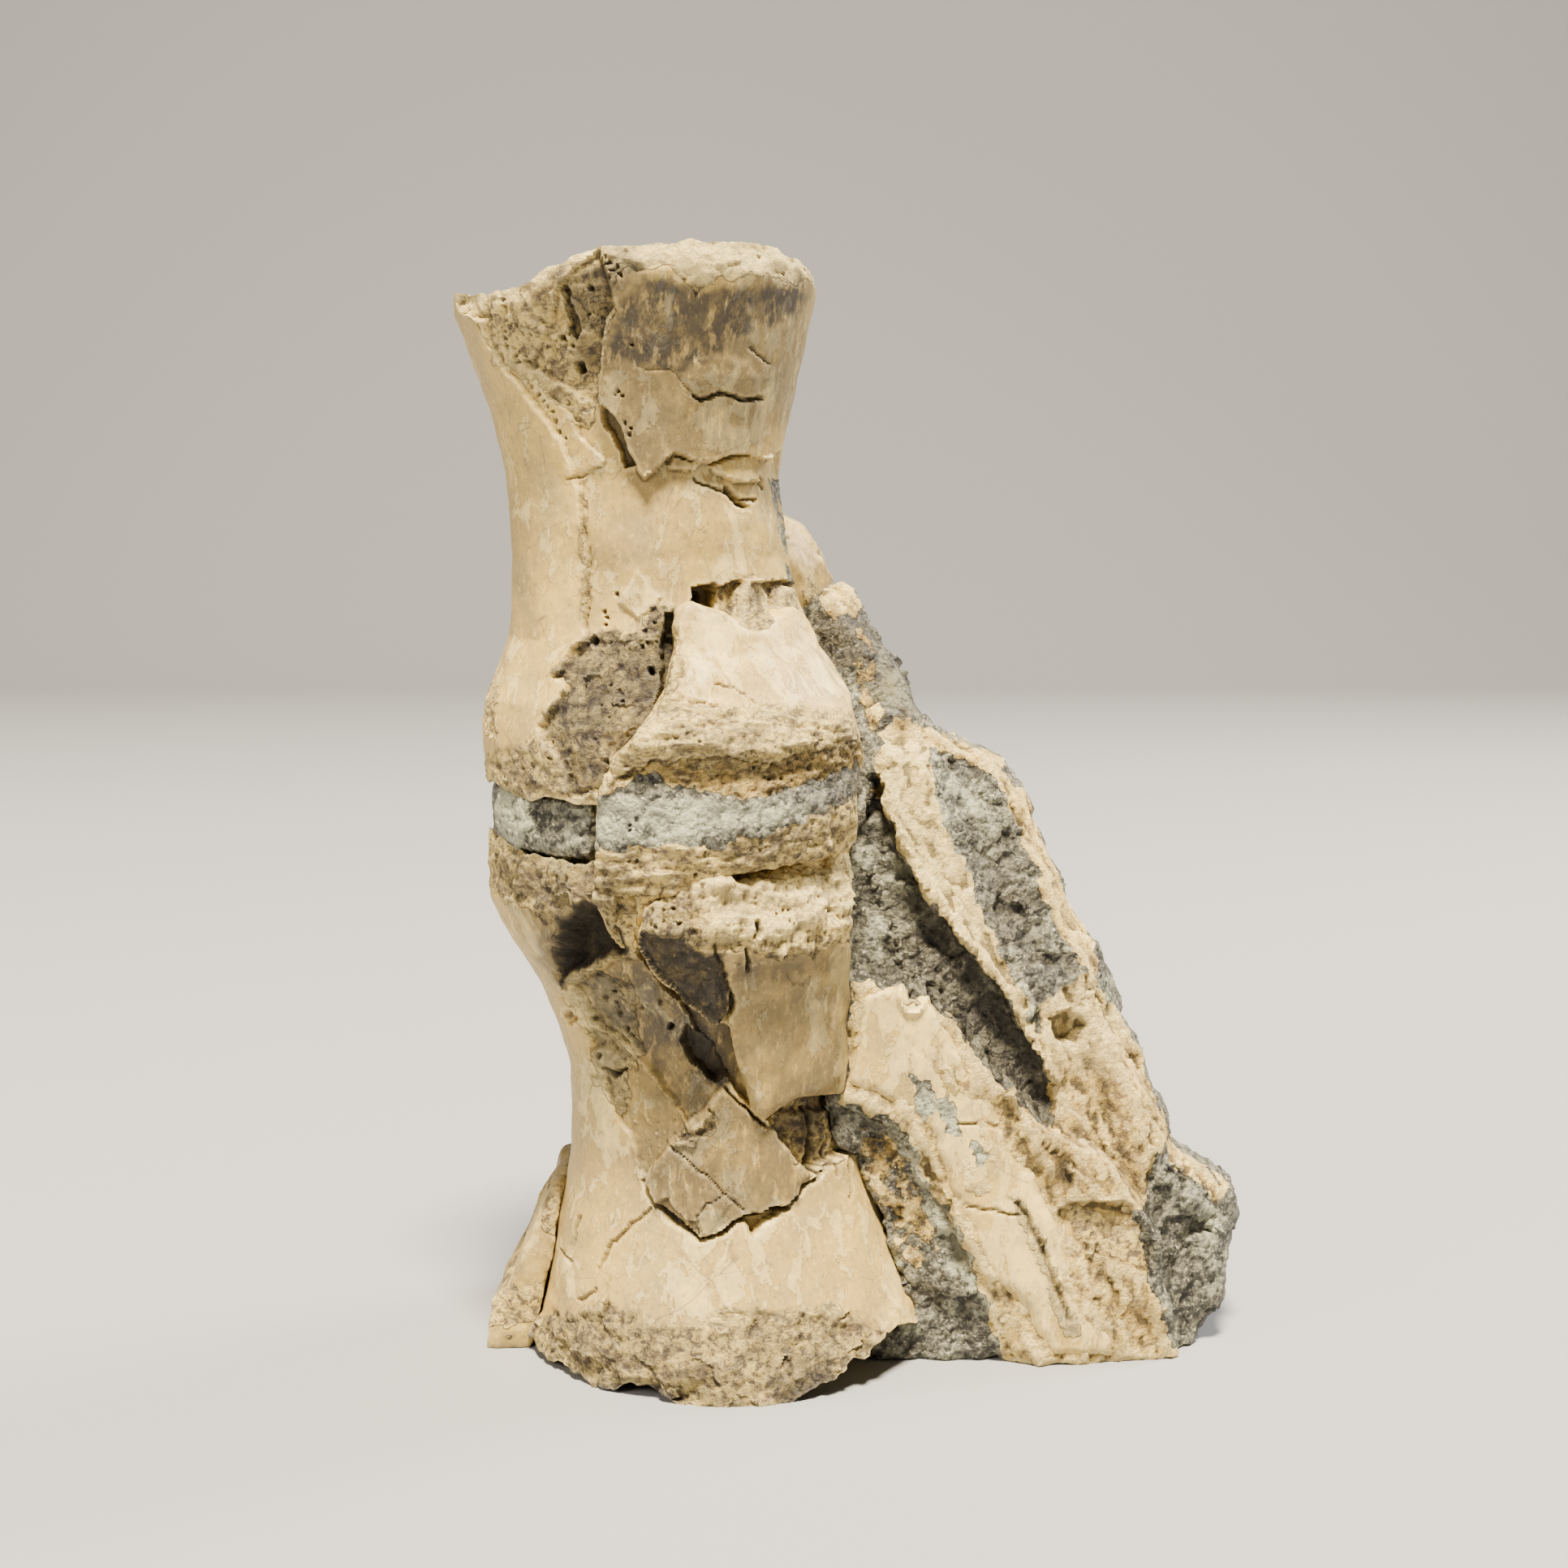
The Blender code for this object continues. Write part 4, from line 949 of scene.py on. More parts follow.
# %% Relief of broken bone
def spongy_relief(points, share):
    """Crumbs, chips and scattered pores of broken bone, in millimetres, where share is 1."""
    crumbs = 0.5 * lumps(points, 6.5, 33, 6, (1.2, 1.2, 0.75)) + 0.3 * chips(points, 3.4, 31)
    crumbs += 0.22 * ridges(points, 1.6, 37, 3, (1.2, 1.2, 0.8)) - 0.15
    porous = step(lumps(points, 6.0, 39, 2) - 0.1, 0.25) * step(points[:, 2] - 10, 5)
    pores = -0.6 * porous * step(0.27 - beads(points, 1.3, 41), 0.14)
    return share * (crumbs + pores)


# %% Relief of a spool-shaped bone
def bone_relief(points, shares, outward, rims):
    """The relief of a spool-shaped bone: gentle everywhere, and coarse where it is broken."""
    near_rim = np.zeros(len(points))
    for height, reach in rims:
        near_rim = np.maximum(near_rim, np.exp(-((points[:, 2] - height) / reach) ** 2))
    ragged = near_rim + 0.3 * lumps(points, 4.0, 3)
    deepen(shares, "broken", step(ragged - 0.45, 0.3))
    back = step(outward[:, 1] - 0.1, 0.4)
    layer = lumps(points, 15.0, 17, 6, (1, 1, 1.6))
    crack = back * step(0.022 - np.abs(lumps(points, 24.0, 23, 5, (1, 1, 2.2))), 0.012)
    deepen(shares, "broken", 0.9 * back * step(layer - 0.42, 0.08))
    deepen(shares, "stain_and_shade", 0.6 * back * step(lumps(points, 18.0, 19, 5), 0.4))
    # the cracks at the back are darkened: painted shade, with some dirt
    deepen(shares, "dirt_and_shade", 0.5 * crack)
    worn = 0.4 * back * step(layer - 0.16, 0.15) + 0.5 * back * step(layer - 0.4, 0.1) + 0.3 * crack
    gentle = 0.28 * lumps(points, 9.0, 5, 3) + 0.03 * lumps(points, 1.6, 7, 3)
    fibres = 0.04 * lumps(points, 0.9, 13, 2, (1, 1, 6)) * (1 - shares["broken"])
    return gentle + fibres - worn + spongy_relief(points, shares["broken"])


# %% Make the upper bone
UPPER_RIMS, LOWER_RIMS = [(146.0, 3.6), (75.5, 4.5)], [(-1.0, 4.0), (72.5, 6.5)]  # height and reach


def upper_relief(points, shares, outward):
    return bone_relief(points, shares, outward, UPPER_RIMS)


upper, upper_shares = spool("upper_spool", UPPER_LEFT, UPPER_RIGHT, UPPER_BOTTOM_RIM, UPPER_TOP_RIM,
                            UPPER_MARKS, 100, upper_relief, ragged_rim=0.7, top_bevel=0.6, foot_dish=DISH)
finish_surface(upper, upper_shares, bone_finish)
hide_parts("upper_bone")
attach(upper, "root")

# %% [markdown]
# ### The lower bone's marks
# Its layers broke in steps along diagonal lines, with sand grains stuck to them. A deep cavity opens
# under the left rim. Below the shard a cracked tile of the outer layer stands out, with a gap around
# its lower corner that is darkened with painted shade, and the foot ends in a lumpy rim. The cavity has
# a soft slope and painted shade, because a steep one would stretch the faces of its wall.

# %% Lower bone's marks
CAVITY = [(719, 1108), (701, 1119), (687, 1137), (681, 1169), (682, 1206), (692, 1214), (706, 1200),
          (728, 1191), (754, 1179), (768, 1180), (778, 1170), (765, 1146), (748, 1120), (732, 1108)]
INNER = [(698, 1213), (720, 1240), (742, 1268), (769, 1290), (797, 1317), (829, 1361), (845, 1385),
         (873, 1366), (892, 1341), (920, 1330), (920, 1230), (830, 1180), (760, 1180)]
SANDY = [(720, 1268), (745, 1270), (797, 1317), (829, 1361), (850, 1392), (826, 1409), (793, 1452),
         (786, 1434), (777, 1399), (753, 1369), (739, 1320)]
TILE = [(793, 1452), (826, 1409), (851, 1393), (874, 1368), (892, 1341), (911, 1361), (955, 1393),
        (998, 1447), (974, 1486), (917, 1501), (868, 1529), (806, 1486)]
TILE_FOOT = [(793, 1455), (799, 1475), (806, 1486), (828, 1501), (842, 1514), (864, 1530), (902, 1510),
             (917, 1502)]
TILE_GAP = [(915, 1500), (951, 1488), (976, 1484), (958, 1500), (945, 1508), (932, 1526)]
BULGE = (850, 1690)  # the lowest lump of the foot
LOWER_MARKS = {
    "ledges": [
        (CAVITY, 3.6, 2.2), (SANDY, 0.6, 0.3), (INNER, 1.0, 0.3),
        ([(845, 1262), (887, 1290), (900, 1325), (885, 1338), (850, 1312), (832, 1285)], 4.2, 0.5),
        ([(790, 1060), (1060, 1060), (1060, 1345), (1043, 1372), (950, 1384), (920, 1361), (898, 1336),
          (868, 1290), (835, 1238), (799, 1205), (784, 1178)], 3.0, 0.5),
        ([(951, 1389), (966, 1364), (985, 1348), (1060, 1338), (1062, 1418), (1040, 1428), (1028, 1432),
          (1000, 1449), (976, 1420)], 2.2, 0.4),
        ([(808, 1484), (825, 1472), (828, 1484), (845, 1501), (860, 1504), (866, 1526), (842, 1512),
          (822, 1497)], 0.9, 0.3),
        (TILE_GAP, 1.8, 0.3),
        ([(829, 1410), (840, 1396), (864, 1385), (873, 1362), (884, 1370), (880, 1394), (858, 1404)],
         0.7, 0.5),
        ([(700, 1247), (712, 1252), (706, 1266), (697, 1260)], 1.4, 0.5),
    ],
    "tilts": [([(793, 1455), (826, 1409), (875, 1452), (905, 1478), (868, 1530), (806, 1486)],
               [(760, 1480), (830, 1560)], -0.25, 8.0)],
    "flakes": [(TILE, 0.4, 0.4),
               ([(724, 1292), (745, 1282), (771, 1300), (762, 1324), (742, 1320)], 1.1, 0.9)],
    "cracks": [(TILE_FOOT, 3.6, 1.3), ([(917, 1502), (934, 1497), (951, 1490), (974, 1487)], 5.0, 1.8),
               ([(974, 1488), (980, 1476), (991, 1463), (1010, 1447), (1028, 1433)], 3.0, 0.8),
               ([(826, 1410), (851, 1432), (872, 1451), (891, 1469), (905, 1480), (917, 1492)], 2.2, 0.4),
               ([(891, 1469), (876, 1481), (861, 1498), (861, 1506), (869, 1526)], 2.0, 0.35),
               ([(799, 1489), (776, 1512), (750, 1538), (739, 1564)], 3.0, 0.5),
               ([(736, 1587), (717, 1600)], 3.2, 0.5), ([(753, 1575), (747, 1607), (745, 1621)], 2.2, 0.3),
               ([(719, 1498), (712, 1518), (704, 1538)], 3.2, 0.4), ([(693, 1538), (704, 1553)], 2.6, 0.4),
               ([(892, 1341), (911, 1361), (944, 1388)], 3.0, 0.9),
               ([(950, 1386), (975, 1418), (996, 1446)], 2.2, 0.35),
               ([(1011, 1372), (1014, 1400), (1008, 1443)], 5.0, 1.2),
               ([(1031, 1400), (1030, 1432), (1034, 1448)], 2.6, 0.6),
               ([(1046, 1425), (1048, 1450), (1049, 1475)], 2.4, 0.4),
               ([(742, 1314), (754, 1326), (768, 1318)], 5.0, 1.0)],
    "rises": [([(760, 1270), (795, 1312), (830, 1360)], 5.0, 0.5)],
    "holes": [((700, 1251), 6, 1.0), ((752, 1222), 4, 0.7), ((731, 1256), 5, 0.8), ((741, 1300), 4, 0.7),
              ((788, 1242), 4, 0.6), ((812, 1239), 4, 0.6), ((768, 1268), 5, 0.8), ((774, 1277), 4, 0.7),
              ((824, 1268), 6, 1.2), ((757, 1250), 4, 0.6), ((739, 1232), 4, 0.6)],
    "broken": [([(600, 1040), (661, 1029), (740, 1036), (780, 1060), (784, 1180), (745, 1185), (690, 1215),
                 (683, 1190), (683, 1140), (640, 1120), (600, 1090)], 1.0, 14),
               ([(690, 1215), (735, 1195), (775, 1210), (790, 1290), (775, 1330), (762, 1380), (742, 1350),
                 (720, 1268), (700, 1240)], 0.9, 14),
               (SANDY, 0.3, 12),
               ([(829, 1412), (840, 1396), (864, 1385), (874, 1362), (882, 1370), (878, 1394), (850, 1408)],
                1.0, 4),
               ([(951, 1391), (985, 1352), (1060, 1345), (1062, 1420), (1000, 1448), (976, 1420)], 0.8, 8),
               ([(640, 1624), (707, 1615), (747, 1607), (788, 1630), (822, 1634), (851, 1636), (879, 1616),
                 (920, 1613), (980, 1616), (1031, 1609), (1074, 1636), (1150, 1650), (1150, 1760),
                 (640, 1760)], 1.0, 16)],
    # dark: painted shade in the tile's gap, the cavity, under the shard's tip and in a deep groove
    "dark": [(TILE_GAP, 0.5, 6), (CAVITY, 0.88, 14),
             ([(848, 1262), (885, 1285), (902, 1325), (888, 1342), (852, 1316), (836, 1288)], 0.85, 10),
             ([(1000, 1372), (1018, 1372), (1016, 1440), (1004, 1440)], 0.6, 6)],
    # stain: partly a stain and partly painted shade, in the cavity, on the inner steps and under the shard
    "stain_and_shade": [(CAVITY, 1.0, 14),
              ([(600, 1055), (660, 1045), (740, 1050), (780, 1090), (700, 1110), (655, 1160), (620, 1100)],
               0.6, 30),
              ([(660, 1080), (715, 1075), (700, 1120), (683, 1200), (655, 1150)], 0.8, 24),
              (INNER, 0.9, 20),
              ([(770, 1180), (900, 1250), (900, 1335), (850, 1330), (780, 1260)], 0.95, 36),
              (SANDY, 0.6, 10), ([(672, 1100), (700, 1120), (684, 1215), (660, 1180)], 0.7, 16),
              ([(752, 1290), (790, 1300), (860, 1392), (815, 1410), (785, 1400)], 0.3, 16),
              (TILE, 0.75, 12),
              ([(793, 1452), (826, 1409), (875, 1440), (917, 1500), (868, 1529)], 0.5, 14),
              ([(640, 1620), (760, 1615), (860, 1640), (1040, 1615), (1150, 1650), (1150, 1760),
                (640, 1760)], 0.64, 20),
              ([(951, 1391), (985, 1340), (1060, 1335), (1062, 1380), (1000, 1400), (976, 1420)], 0.8, 20),
              ([(1000, 1365), (1020, 1365), (1020, 1445), (1002, 1445)], 0.7, 8),
              ([(700, 1620), (850, 1640), (960, 1625), (960, 1680), (780, 1690), (700, 1665)], 0.35, 30)],
    "pale": [([(712, 1275), (745, 1330), (755, 1370), (775, 1415), (745, 1450), (712, 1370)], 0.9, 16),
             ([(820, 1570), (980, 1560), (1080, 1600), (1050, 1620), (830, 1625)], 0.35, 40),
             ([(695, 1212), (740, 1205), (775, 1225), (775, 1300), (760, 1370), (735, 1320), (715, 1265)],
              0.7, 16),
             ([(690, 1540), (712, 1560), (720, 1600), (700, 1600)], 0.8, 10)],
}
count_marks("lower bone", LOWER_MARKS)

# %% [markdown]
# Sand grains stick to the stepped middle, and the foot is built of lumpy layers. Grains could be
# hundreds of small balls, but as domes in the skin they need no faces of their own.

# %% Make the lower bone
def lower_relief(points, shares, outward):
    relief = bone_relief(points, shares, outward, LOWER_RIMS)
    u, v = on_sheet(points)
    sandy = np.maximum(step(inside_by(u, v, SANDY) + 16, 16), 0.6 * step(inside_by(u, v, INNER), 16))
    sandy *= step(-outward[:, 1], 0.3)
    sandy *= step(lumps(points, 4.0, 69, 3) + 0.15, 0.3)
    grains = 0.35 * np.sqrt(np.clip(1 - beads(points, 1.2, 61) / 0.29, 0, 1))
    shares["stain_and_shade"] *= 1 - 0.6 * sandy * step(grains - 0.05, 0.15)
    foot_bulge = 1.2 * np.exp(-((u - BULGE[0]) / 60) ** 2 - ((v - BULGE[1]) / 22) ** 2)
    in_foot = np.exp(-(points[:, 2] / 10.0) ** 2)
    browned = in_foot * step(lumps(points, 9.0, 68, 5, (1.5, 1.5, 0.6)) + 0.2, 0.4)
    deepen(shares, "stain_and_shade", browned * shares["broken"])
    foot_layers = 0.9 * lumps(points, 9.0, 63, 5, (1.6, 1.6, 0.6)) + 0.8 * chips(points, 4.5, 65)
    foot_layers = foot_layers * in_foot * shares["broken"]
    return relief + sandy * grains + foot_bulge + foot_layers


lower, lower_shares = spool("lower_spool", LOWER_LEFT, LOWER_RIGHT, LOWER_BOTTOM_RIM, LOWER_TOP_RIM,
                            LOWER_MARKS, 200, lower_relief, ragged_rim=1.5, top_bevel=0.0, foot_dish=3.0)
finish_surface(lower, lower_shares, bone_finish)
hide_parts("lower_bone")
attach(lower, "root")

# %% [markdown]
# ## Pieces made from their own solids
# The other pieces are irregular, and their solids already have the right form, so each starts as a
# copy of its own solid. Subdividing it would keep the solid's long thin triangles. A voxel Remesh gives
# it small even faces, and a few rounds of smoothing take away the facets. Only then is it marked.

# %% Copy a solid finely
def fine_copy(name, nodes, voxel, rounds, grow):
    """A fine copy of CAD nodes as one body, smoothed, and swollen by grow millimetres to close gaps."""
    bm = bmesh.new()
    for node in nodes:
        bm.from_mesh(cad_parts[node].data)
    bmesh.ops.remove_doubles(bm, verts=bm.verts, dist=0.001 * MM)
    mesh = bpy.data.meshes.new(name)
    bm.to_mesh(mesh)
    bm.free()
    piece = object_of(name, mesh)
    place_points(mesh, points_of(mesh) + normals_of(mesh) * grow)
    remesh = piece.modifiers.new("even", "REMESH")
    remesh.mode, remesh.voxel_size = "VOXEL", voxel * MM
    mesh = settle(piece)
    place_points(mesh, smoothed(points_of(mesh), edges_of(mesh), rounds))
    print(name, "is copied from", nodes, "with", len(mesh.vertices), "points")
    return piece


def towards_eye(points, normals):
    """1 where the surface faces the eye, 0 where it is edge on, and less where it faces away."""
    ray = EYE - points
    ray /= np.linalg.norm(ray, axis=1)[:, None]
    return (normals * ray).sum(1)


def mark_copy(piece, marks, seed, relief, material, slot, *nodes):
    """Raises and sinks the copy's surface, paints it, and shows it instead of those nodes."""
    mesh = piece.data
    points, normals = points_of(mesh), normals_of(mesh)
    depth, shares = marked(points, towards_eye(points, normals), marks, seed)
    raised = relief(points, shares) - depth
    points = points + normals * raised[:, None]
    points[:, 2] = np.maximum(points[:, 2], 0.0)
    place_points(mesh, points)
    finish_surface(piece, shares, material)
    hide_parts(*nodes)
    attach(piece, "root")


# %% [markdown]
# ### The wedge
# A smooth pale face at the top, a spongy rim, a dark crevice, then a band of the joint's grey rock
# and a last spongy edge that runs down into a thin tail at the left. The band could be a piece of its
# own, but it is only a film, so it is painted. Edges wander more here than elsewhere, as the bone tore.

# %% Wedge's marks
CREVICE_TOP = [(790, 944), (800, 937), (833, 937), (861, 932), (884, 930), (921, 935), (959, 937),
               (996, 923), (1024, 916), (1061, 909), (1100, 905)]
CREVICE_FOOT = [(1100, 930), (1061, 942), (1015, 956), (987, 965), (954, 977), (926, 982), (893, 974),
                (856, 970), (828, 963), (800, 958), (790, 952)]
ROCK_FOOT = [(700, 1050), (760, 1051), (793, 1047), (826, 1043), (870, 1047), (901, 1040), (927, 1034),
             (951, 1025), (980, 1014), (1009, 1005), (1039, 992), (1064, 970), (1100, 950)]
ROCK_BAND = [(700, 985), (733, 985), (757, 955), (790, 942), (828, 946), (856, 951), (893, 955), (926, 962),
             (954, 957), (987, 945), (1015, 936), (1061, 923), (1100, 912)] + ROCK_FOOT[::-1]
WEDGE_MARKS = {
    "raggedness": 6.5,
    "ledges": [([(786, 1102), (786, 1180), (770, 1190), (764, 1177), (752, 1150), (760, 1110)], 0.8, 0.4)],
    "tilts": [(CREVICE_TOP + ROCK_FOOT[::-1] + [(733, 985), (757, 955)], ROCK_FOOT, 0.7, 9.0)],
    "cracks": [([(885, 843), (905, 850), (922, 858), (932, 864)], 2.0, 0.3),
               ([(850, 863), (862, 869), (880, 870)], 2.0, 0.3)],
    "holes": [((857, 1078), 3.5, 0.8), ((783, 1008), 3, 0.5), ((775, 1014), 2.5, 0.5),
              ((778, 1020), 2.5, 0.5), ((778, 1057), 3, 0.6), ((786, 1060), 2.5, 0.5)],
    "broken": [([(790, 880), (850, 866), (900, 872), (960, 866), (1075, 880), (1110, 900)]
                + CREVICE_FOOT + [(730, 985), (745, 940), (800, 884), (830, 820), (845, 850)], 0.9, 22),
               (ROCK_FOOT + [(1110, 970), (1080, 1080), (900, 1100), (786, 1120), (786, 1190), (700, 1190)],
                0.95, 6),
               ([(838, 745), (846, 860), (820, 880), (800, 884)], 0.6, 20)],
    "rock": [(ROCK_BAND, 1.0, 6), (CREVICE_TOP + CREVICE_FOOT, 0.5, 10)],
    "flakes": [(CREVICE_TOP + CREVICE_FOOT, 0.3, 0.8)],
    # stain: the crevice under the rim is darkened, partly as stain and partly as painted shade
    "stain_and_shade": [(CREVICE_TOP + CREVICE_FOOT, 0.6, 14),
              ([(790, 925), (860, 912), (960, 918), (1080, 895), (1080, 925), (960, 950), (860, 950),
                (790, 955)], 0.35, 18),
              ([(735, 1080), (780, 1085), (775, 1170), (750, 1160)], 0.6, 20),
              ([(1012, 955), (1080, 930), (1080, 985), (1020, 1000)], 0.6, 10),
              ([(880, 1040), (1080, 975), (1080, 1010), (1000, 1040), (900, 1065)], 0.4, 16)],
    "pale": [([(700, 985), (760, 980), (960, 985), (1000, 1000), (900, 1030), (770, 1045), (700, 1060)],
              0.75, 20),
             ([(860, 760), (1000, 770), (1050, 860), (860, 860)], 0.5, 40),
             ([(790, 880), (850, 866), (960, 866), (1075, 880), (1060, 910), (920, 925), (780, 935)],
              0.2, 16)],
}
count_marks("wedge", WEDGE_MARKS)


# %% Make the wedge
def wedge_relief(points, shares):
    folds = 0.4 * lumps(points, 1.8, 71, 4, (2.2, 1, 0.6)) * shares["broken"]
    browned = 0.3 * shares["broken"] * step(lumps(points, 5.0, 77, 6, (2, 1, 0.6)) - 0.12, 0.25)
    deepen(shares, "stain_and_shade", browned)
    relief = 0.12 * lumps(points, 5.0, 73) + folds + 0.7 * spongy_relief(points, shares["broken"])
    return relief + 0.15 * lumps(points, 1.0, 79, 3) * shares["rock"]


wedge = fine_copy("wedge", ["front_wedge"], voxel=0.3, rounds=7, grow=0.3)
mark_copy(wedge, WEDGE_MARKS, 300, wedge_relief, bone_finish, "bone", "front_wedge")

# %% [markdown]
# ### The shard
# The bone below the wedge: a cream fibrous band at the top, a dark lower face that ends in a point,
# whose darkness is painted shade, with some stain, as it lies under the band, and a plate at the right
# whose outer film has flaked in patches. The fibres could be fine grooves cut one by one. Noise that
# is stretched upright gives them all at once, and none is like another.

# %% Shard's marks
# the shard's lower face: its darkness is painted shade with some stain, as it lies under the fibrous band
DARK_FACE = [(740, 1150), (812, 1148), (840, 1158), (862, 1174), (890, 1178), (903, 1227), (898, 1247),
             (880, 1330), (820, 1300), (760, 1230), (740, 1178)]
SHARD_MARKS = {
    "flakes": [([(850, 1080), (905, 1062), (905, 1095), (850, 1112)], 0.7, 0.6),
               ([(985, 1032), (1060, 1012), (1060, 1060), (985, 1068)], 0.7, 0.6)],
    "tilts": [(DARK_FACE, [(800, 1105), (838, 1137), (857, 1161), (890, 1170), (903, 1227), (898, 1247)],
               1.2, 10.0)],
    "cracks": [([(879, 1167), (888, 1185), (894, 1200), (902, 1227)], 3.0, 0.5),
               ([(933, 1138), (936, 1148), (932, 1155)], 5.0, 1.3),
               ([(920, 1170), (922, 1195)], 3.5, 0.8), ([(902, 1228), (899, 1248)], 4.0, 1.2)],
    "holes": [((1026, 1120), 6, 0.5), ((972, 1052), 7, 1.2), ((803, 1122), 4, 0.8), ((816, 1132), 3.5, 0.7),
              ((829, 1118), 4, 0.8), ((808, 1141), 3.5, 0.7), ((838, 1140), 4, 0.8),
              ((821, 1108), 3.5, 0.7)],
    "ledges": [([(905, 1072), (917, 1060), (934, 1052), (958, 1045), (980, 1040), (984, 1058), (967, 1064),
                 (938, 1073)], 2.4, 0.4),
               ([(868, 1289), (898, 1247), (904, 1292), (889, 1308)], 2.2, 0.3),
               ([(969, 1199), (990, 1195), (1004, 1203), (990, 1216), (975, 1214)], 0.25, 0.15)],
    "broken": [([(780, 1080), (1060, 1050), (1060, 1160), (1034, 1164), (999, 1178), (969, 1184),
                 (933, 1175), (922, 1172), (884, 1176), (862, 1172), (838, 1155), (812, 1146),
                 (760, 1150), (760, 1090)], 1.0, 10), (DARK_FACE, 0.42, 8)],
    # stain: partly a stain and partly painted shade, darkest on the lower face
    "stain_and_shade": [(DARK_FACE, 1.0, 8),
              ([(760, 1085), (830, 1080), (862, 1115), (872, 1160), (840, 1170), (760, 1160)], 0.6, 24),
              ([(905, 1180), (1080, 1165), (1080, 1400), (900, 1400)], 0.62, 10),
              ([(905, 1180), (1000, 1184), (1030, 1170), (1040, 1200), (960, 1215), (905, 1220)], 0.8, 20)],
    # dark: painted shade on the lower face and in the gap under the wedge
    "dark": [(DARK_FACE, 0.68, 12),
             ([(908, 1070), (917, 1060), (934, 1052), (958, 1045), (978, 1043), (967, 1060), (938, 1070)],
              0.7, 6)],
    # the shard's top: pale cream, partly its own colour and partly painted light against the shade of the
    # wedge above
    "pale": [([(870, 1085), (1060, 1050), (1060, 1120), (1000, 1150), (930, 1160), (890, 1170)], 0.65, 24),
             ([(1026, 1170), (1050, 1170), (1050, 1350), (1030, 1350), (1022, 1240)], 1.0, 14),
             ([(985, 1215), (1010, 1205), (1020, 1290), (1000, 1300)], 0.8, 14)],
}
count_marks("shard", SHARD_MARKS)


# %% Make the shard
def shard_relief(points, shares):
    fibres = 0.45 * lumps(points, 1.4, 83, 3, (1, 1, 4.0)) * shares["broken"]
    browned = 0.35 * shares["broken"] * step(lumps(points, 5.0, 87, 6, (2, 1, 0.8)) - 0.2, 0.25)
    deepen(shares, "stain_and_shade", browned)
    layers = 0.6 * lumps(points, 4.0, 85, 5, (2, 1, 0.6)) * shares["broken"]
    return 0.12 * lumps(points, 5.0, 89) + fibres + layers + 0.7 * spongy_relief(points, shares["broken"])


shard = fine_copy("shard", ["lower_shard"], voxel=0.3, rounds=6, grow=0.35)
mark_copy(shard, SHARD_MARKS, 400, shard_relief, bone_finish, "bone", "lower_shard")

# %% [markdown]
# ### The joint's rock
# Only its edge shows. It is dark and gritty, with a pale crystalline lump at the left. The lump could
# be a piece of its own, but it grew in the rock, so it is raised and paled on the same skin.

# %% Joint rock
JOINT_MARKS = {
    "pale": [([(623, 966), (660, 971), (660, 1016), (646, 1046), (623, 1023), (612, 993)], 1.0, 6)],
    "flakes": [([(616, 968), (660, 971), (660, 1016), (646, 1046), (623, 1030), (608, 993)], 0.9, 0.4)],
}


def gritty_relief(points, shares):
    shares["rock"] = np.ones(len(points))
    relief = 0.45 * lumps(points, 5.0, 91, 5) + 0.4 * chips(points, 3.0, 97)
    return relief + 0.15 * ridges(points, 1.2, 98, 2)


joint = fine_copy("joint", ["joint_rock"], voxel=0.55, rounds=3, grow=1.1)
mark_copy(joint, JOINT_MARKS, 500, gritty_relief, rock_finish, "rock", "joint_rock")

# %% [markdown]
# ### The side rock
# It breaks in bands that run down to the right: a tan ridge between two dark bands, a rough tan
# corner, and dark rock along the foot. Its solid and that of the bone in it are copied as one, so that
# no gap can show between them.

# %% Side rock's marks
BAND = [(1040, 1030), (1060, 1010), (1078, 1000), (1095, 1008), (1112, 1040), (1127, 1078), (1160, 1128),
        (1196, 1168), (1236, 1218), (1263, 1260), (1280, 1300), (1298, 1335), (1306, 1365), (1290, 1390),
        (1262, 1372), (1230, 1340), (1200, 1300), (1175, 1262), (1150, 1245), (1100, 1215), (1060, 1195),
        (1040, 1180)]
UPPER_DARK = [(1140, 930), (1165, 918), (1200, 935), (1228, 965), (1245, 1000), (1262, 1045), (1285, 1100),
              (1305, 1160), (1335, 1195), (1330, 1238), (1290, 1240), (1250, 1215), (1232, 1172),
              (1204, 1110), (1190, 1060), (1165, 1020), (1135, 985)]
RING = [(1125, 1196), (1111, 1208), (1107, 1228), (1117, 1247), (1133, 1247), (1143, 1232), (1138, 1210),
        (1125, 1196)]
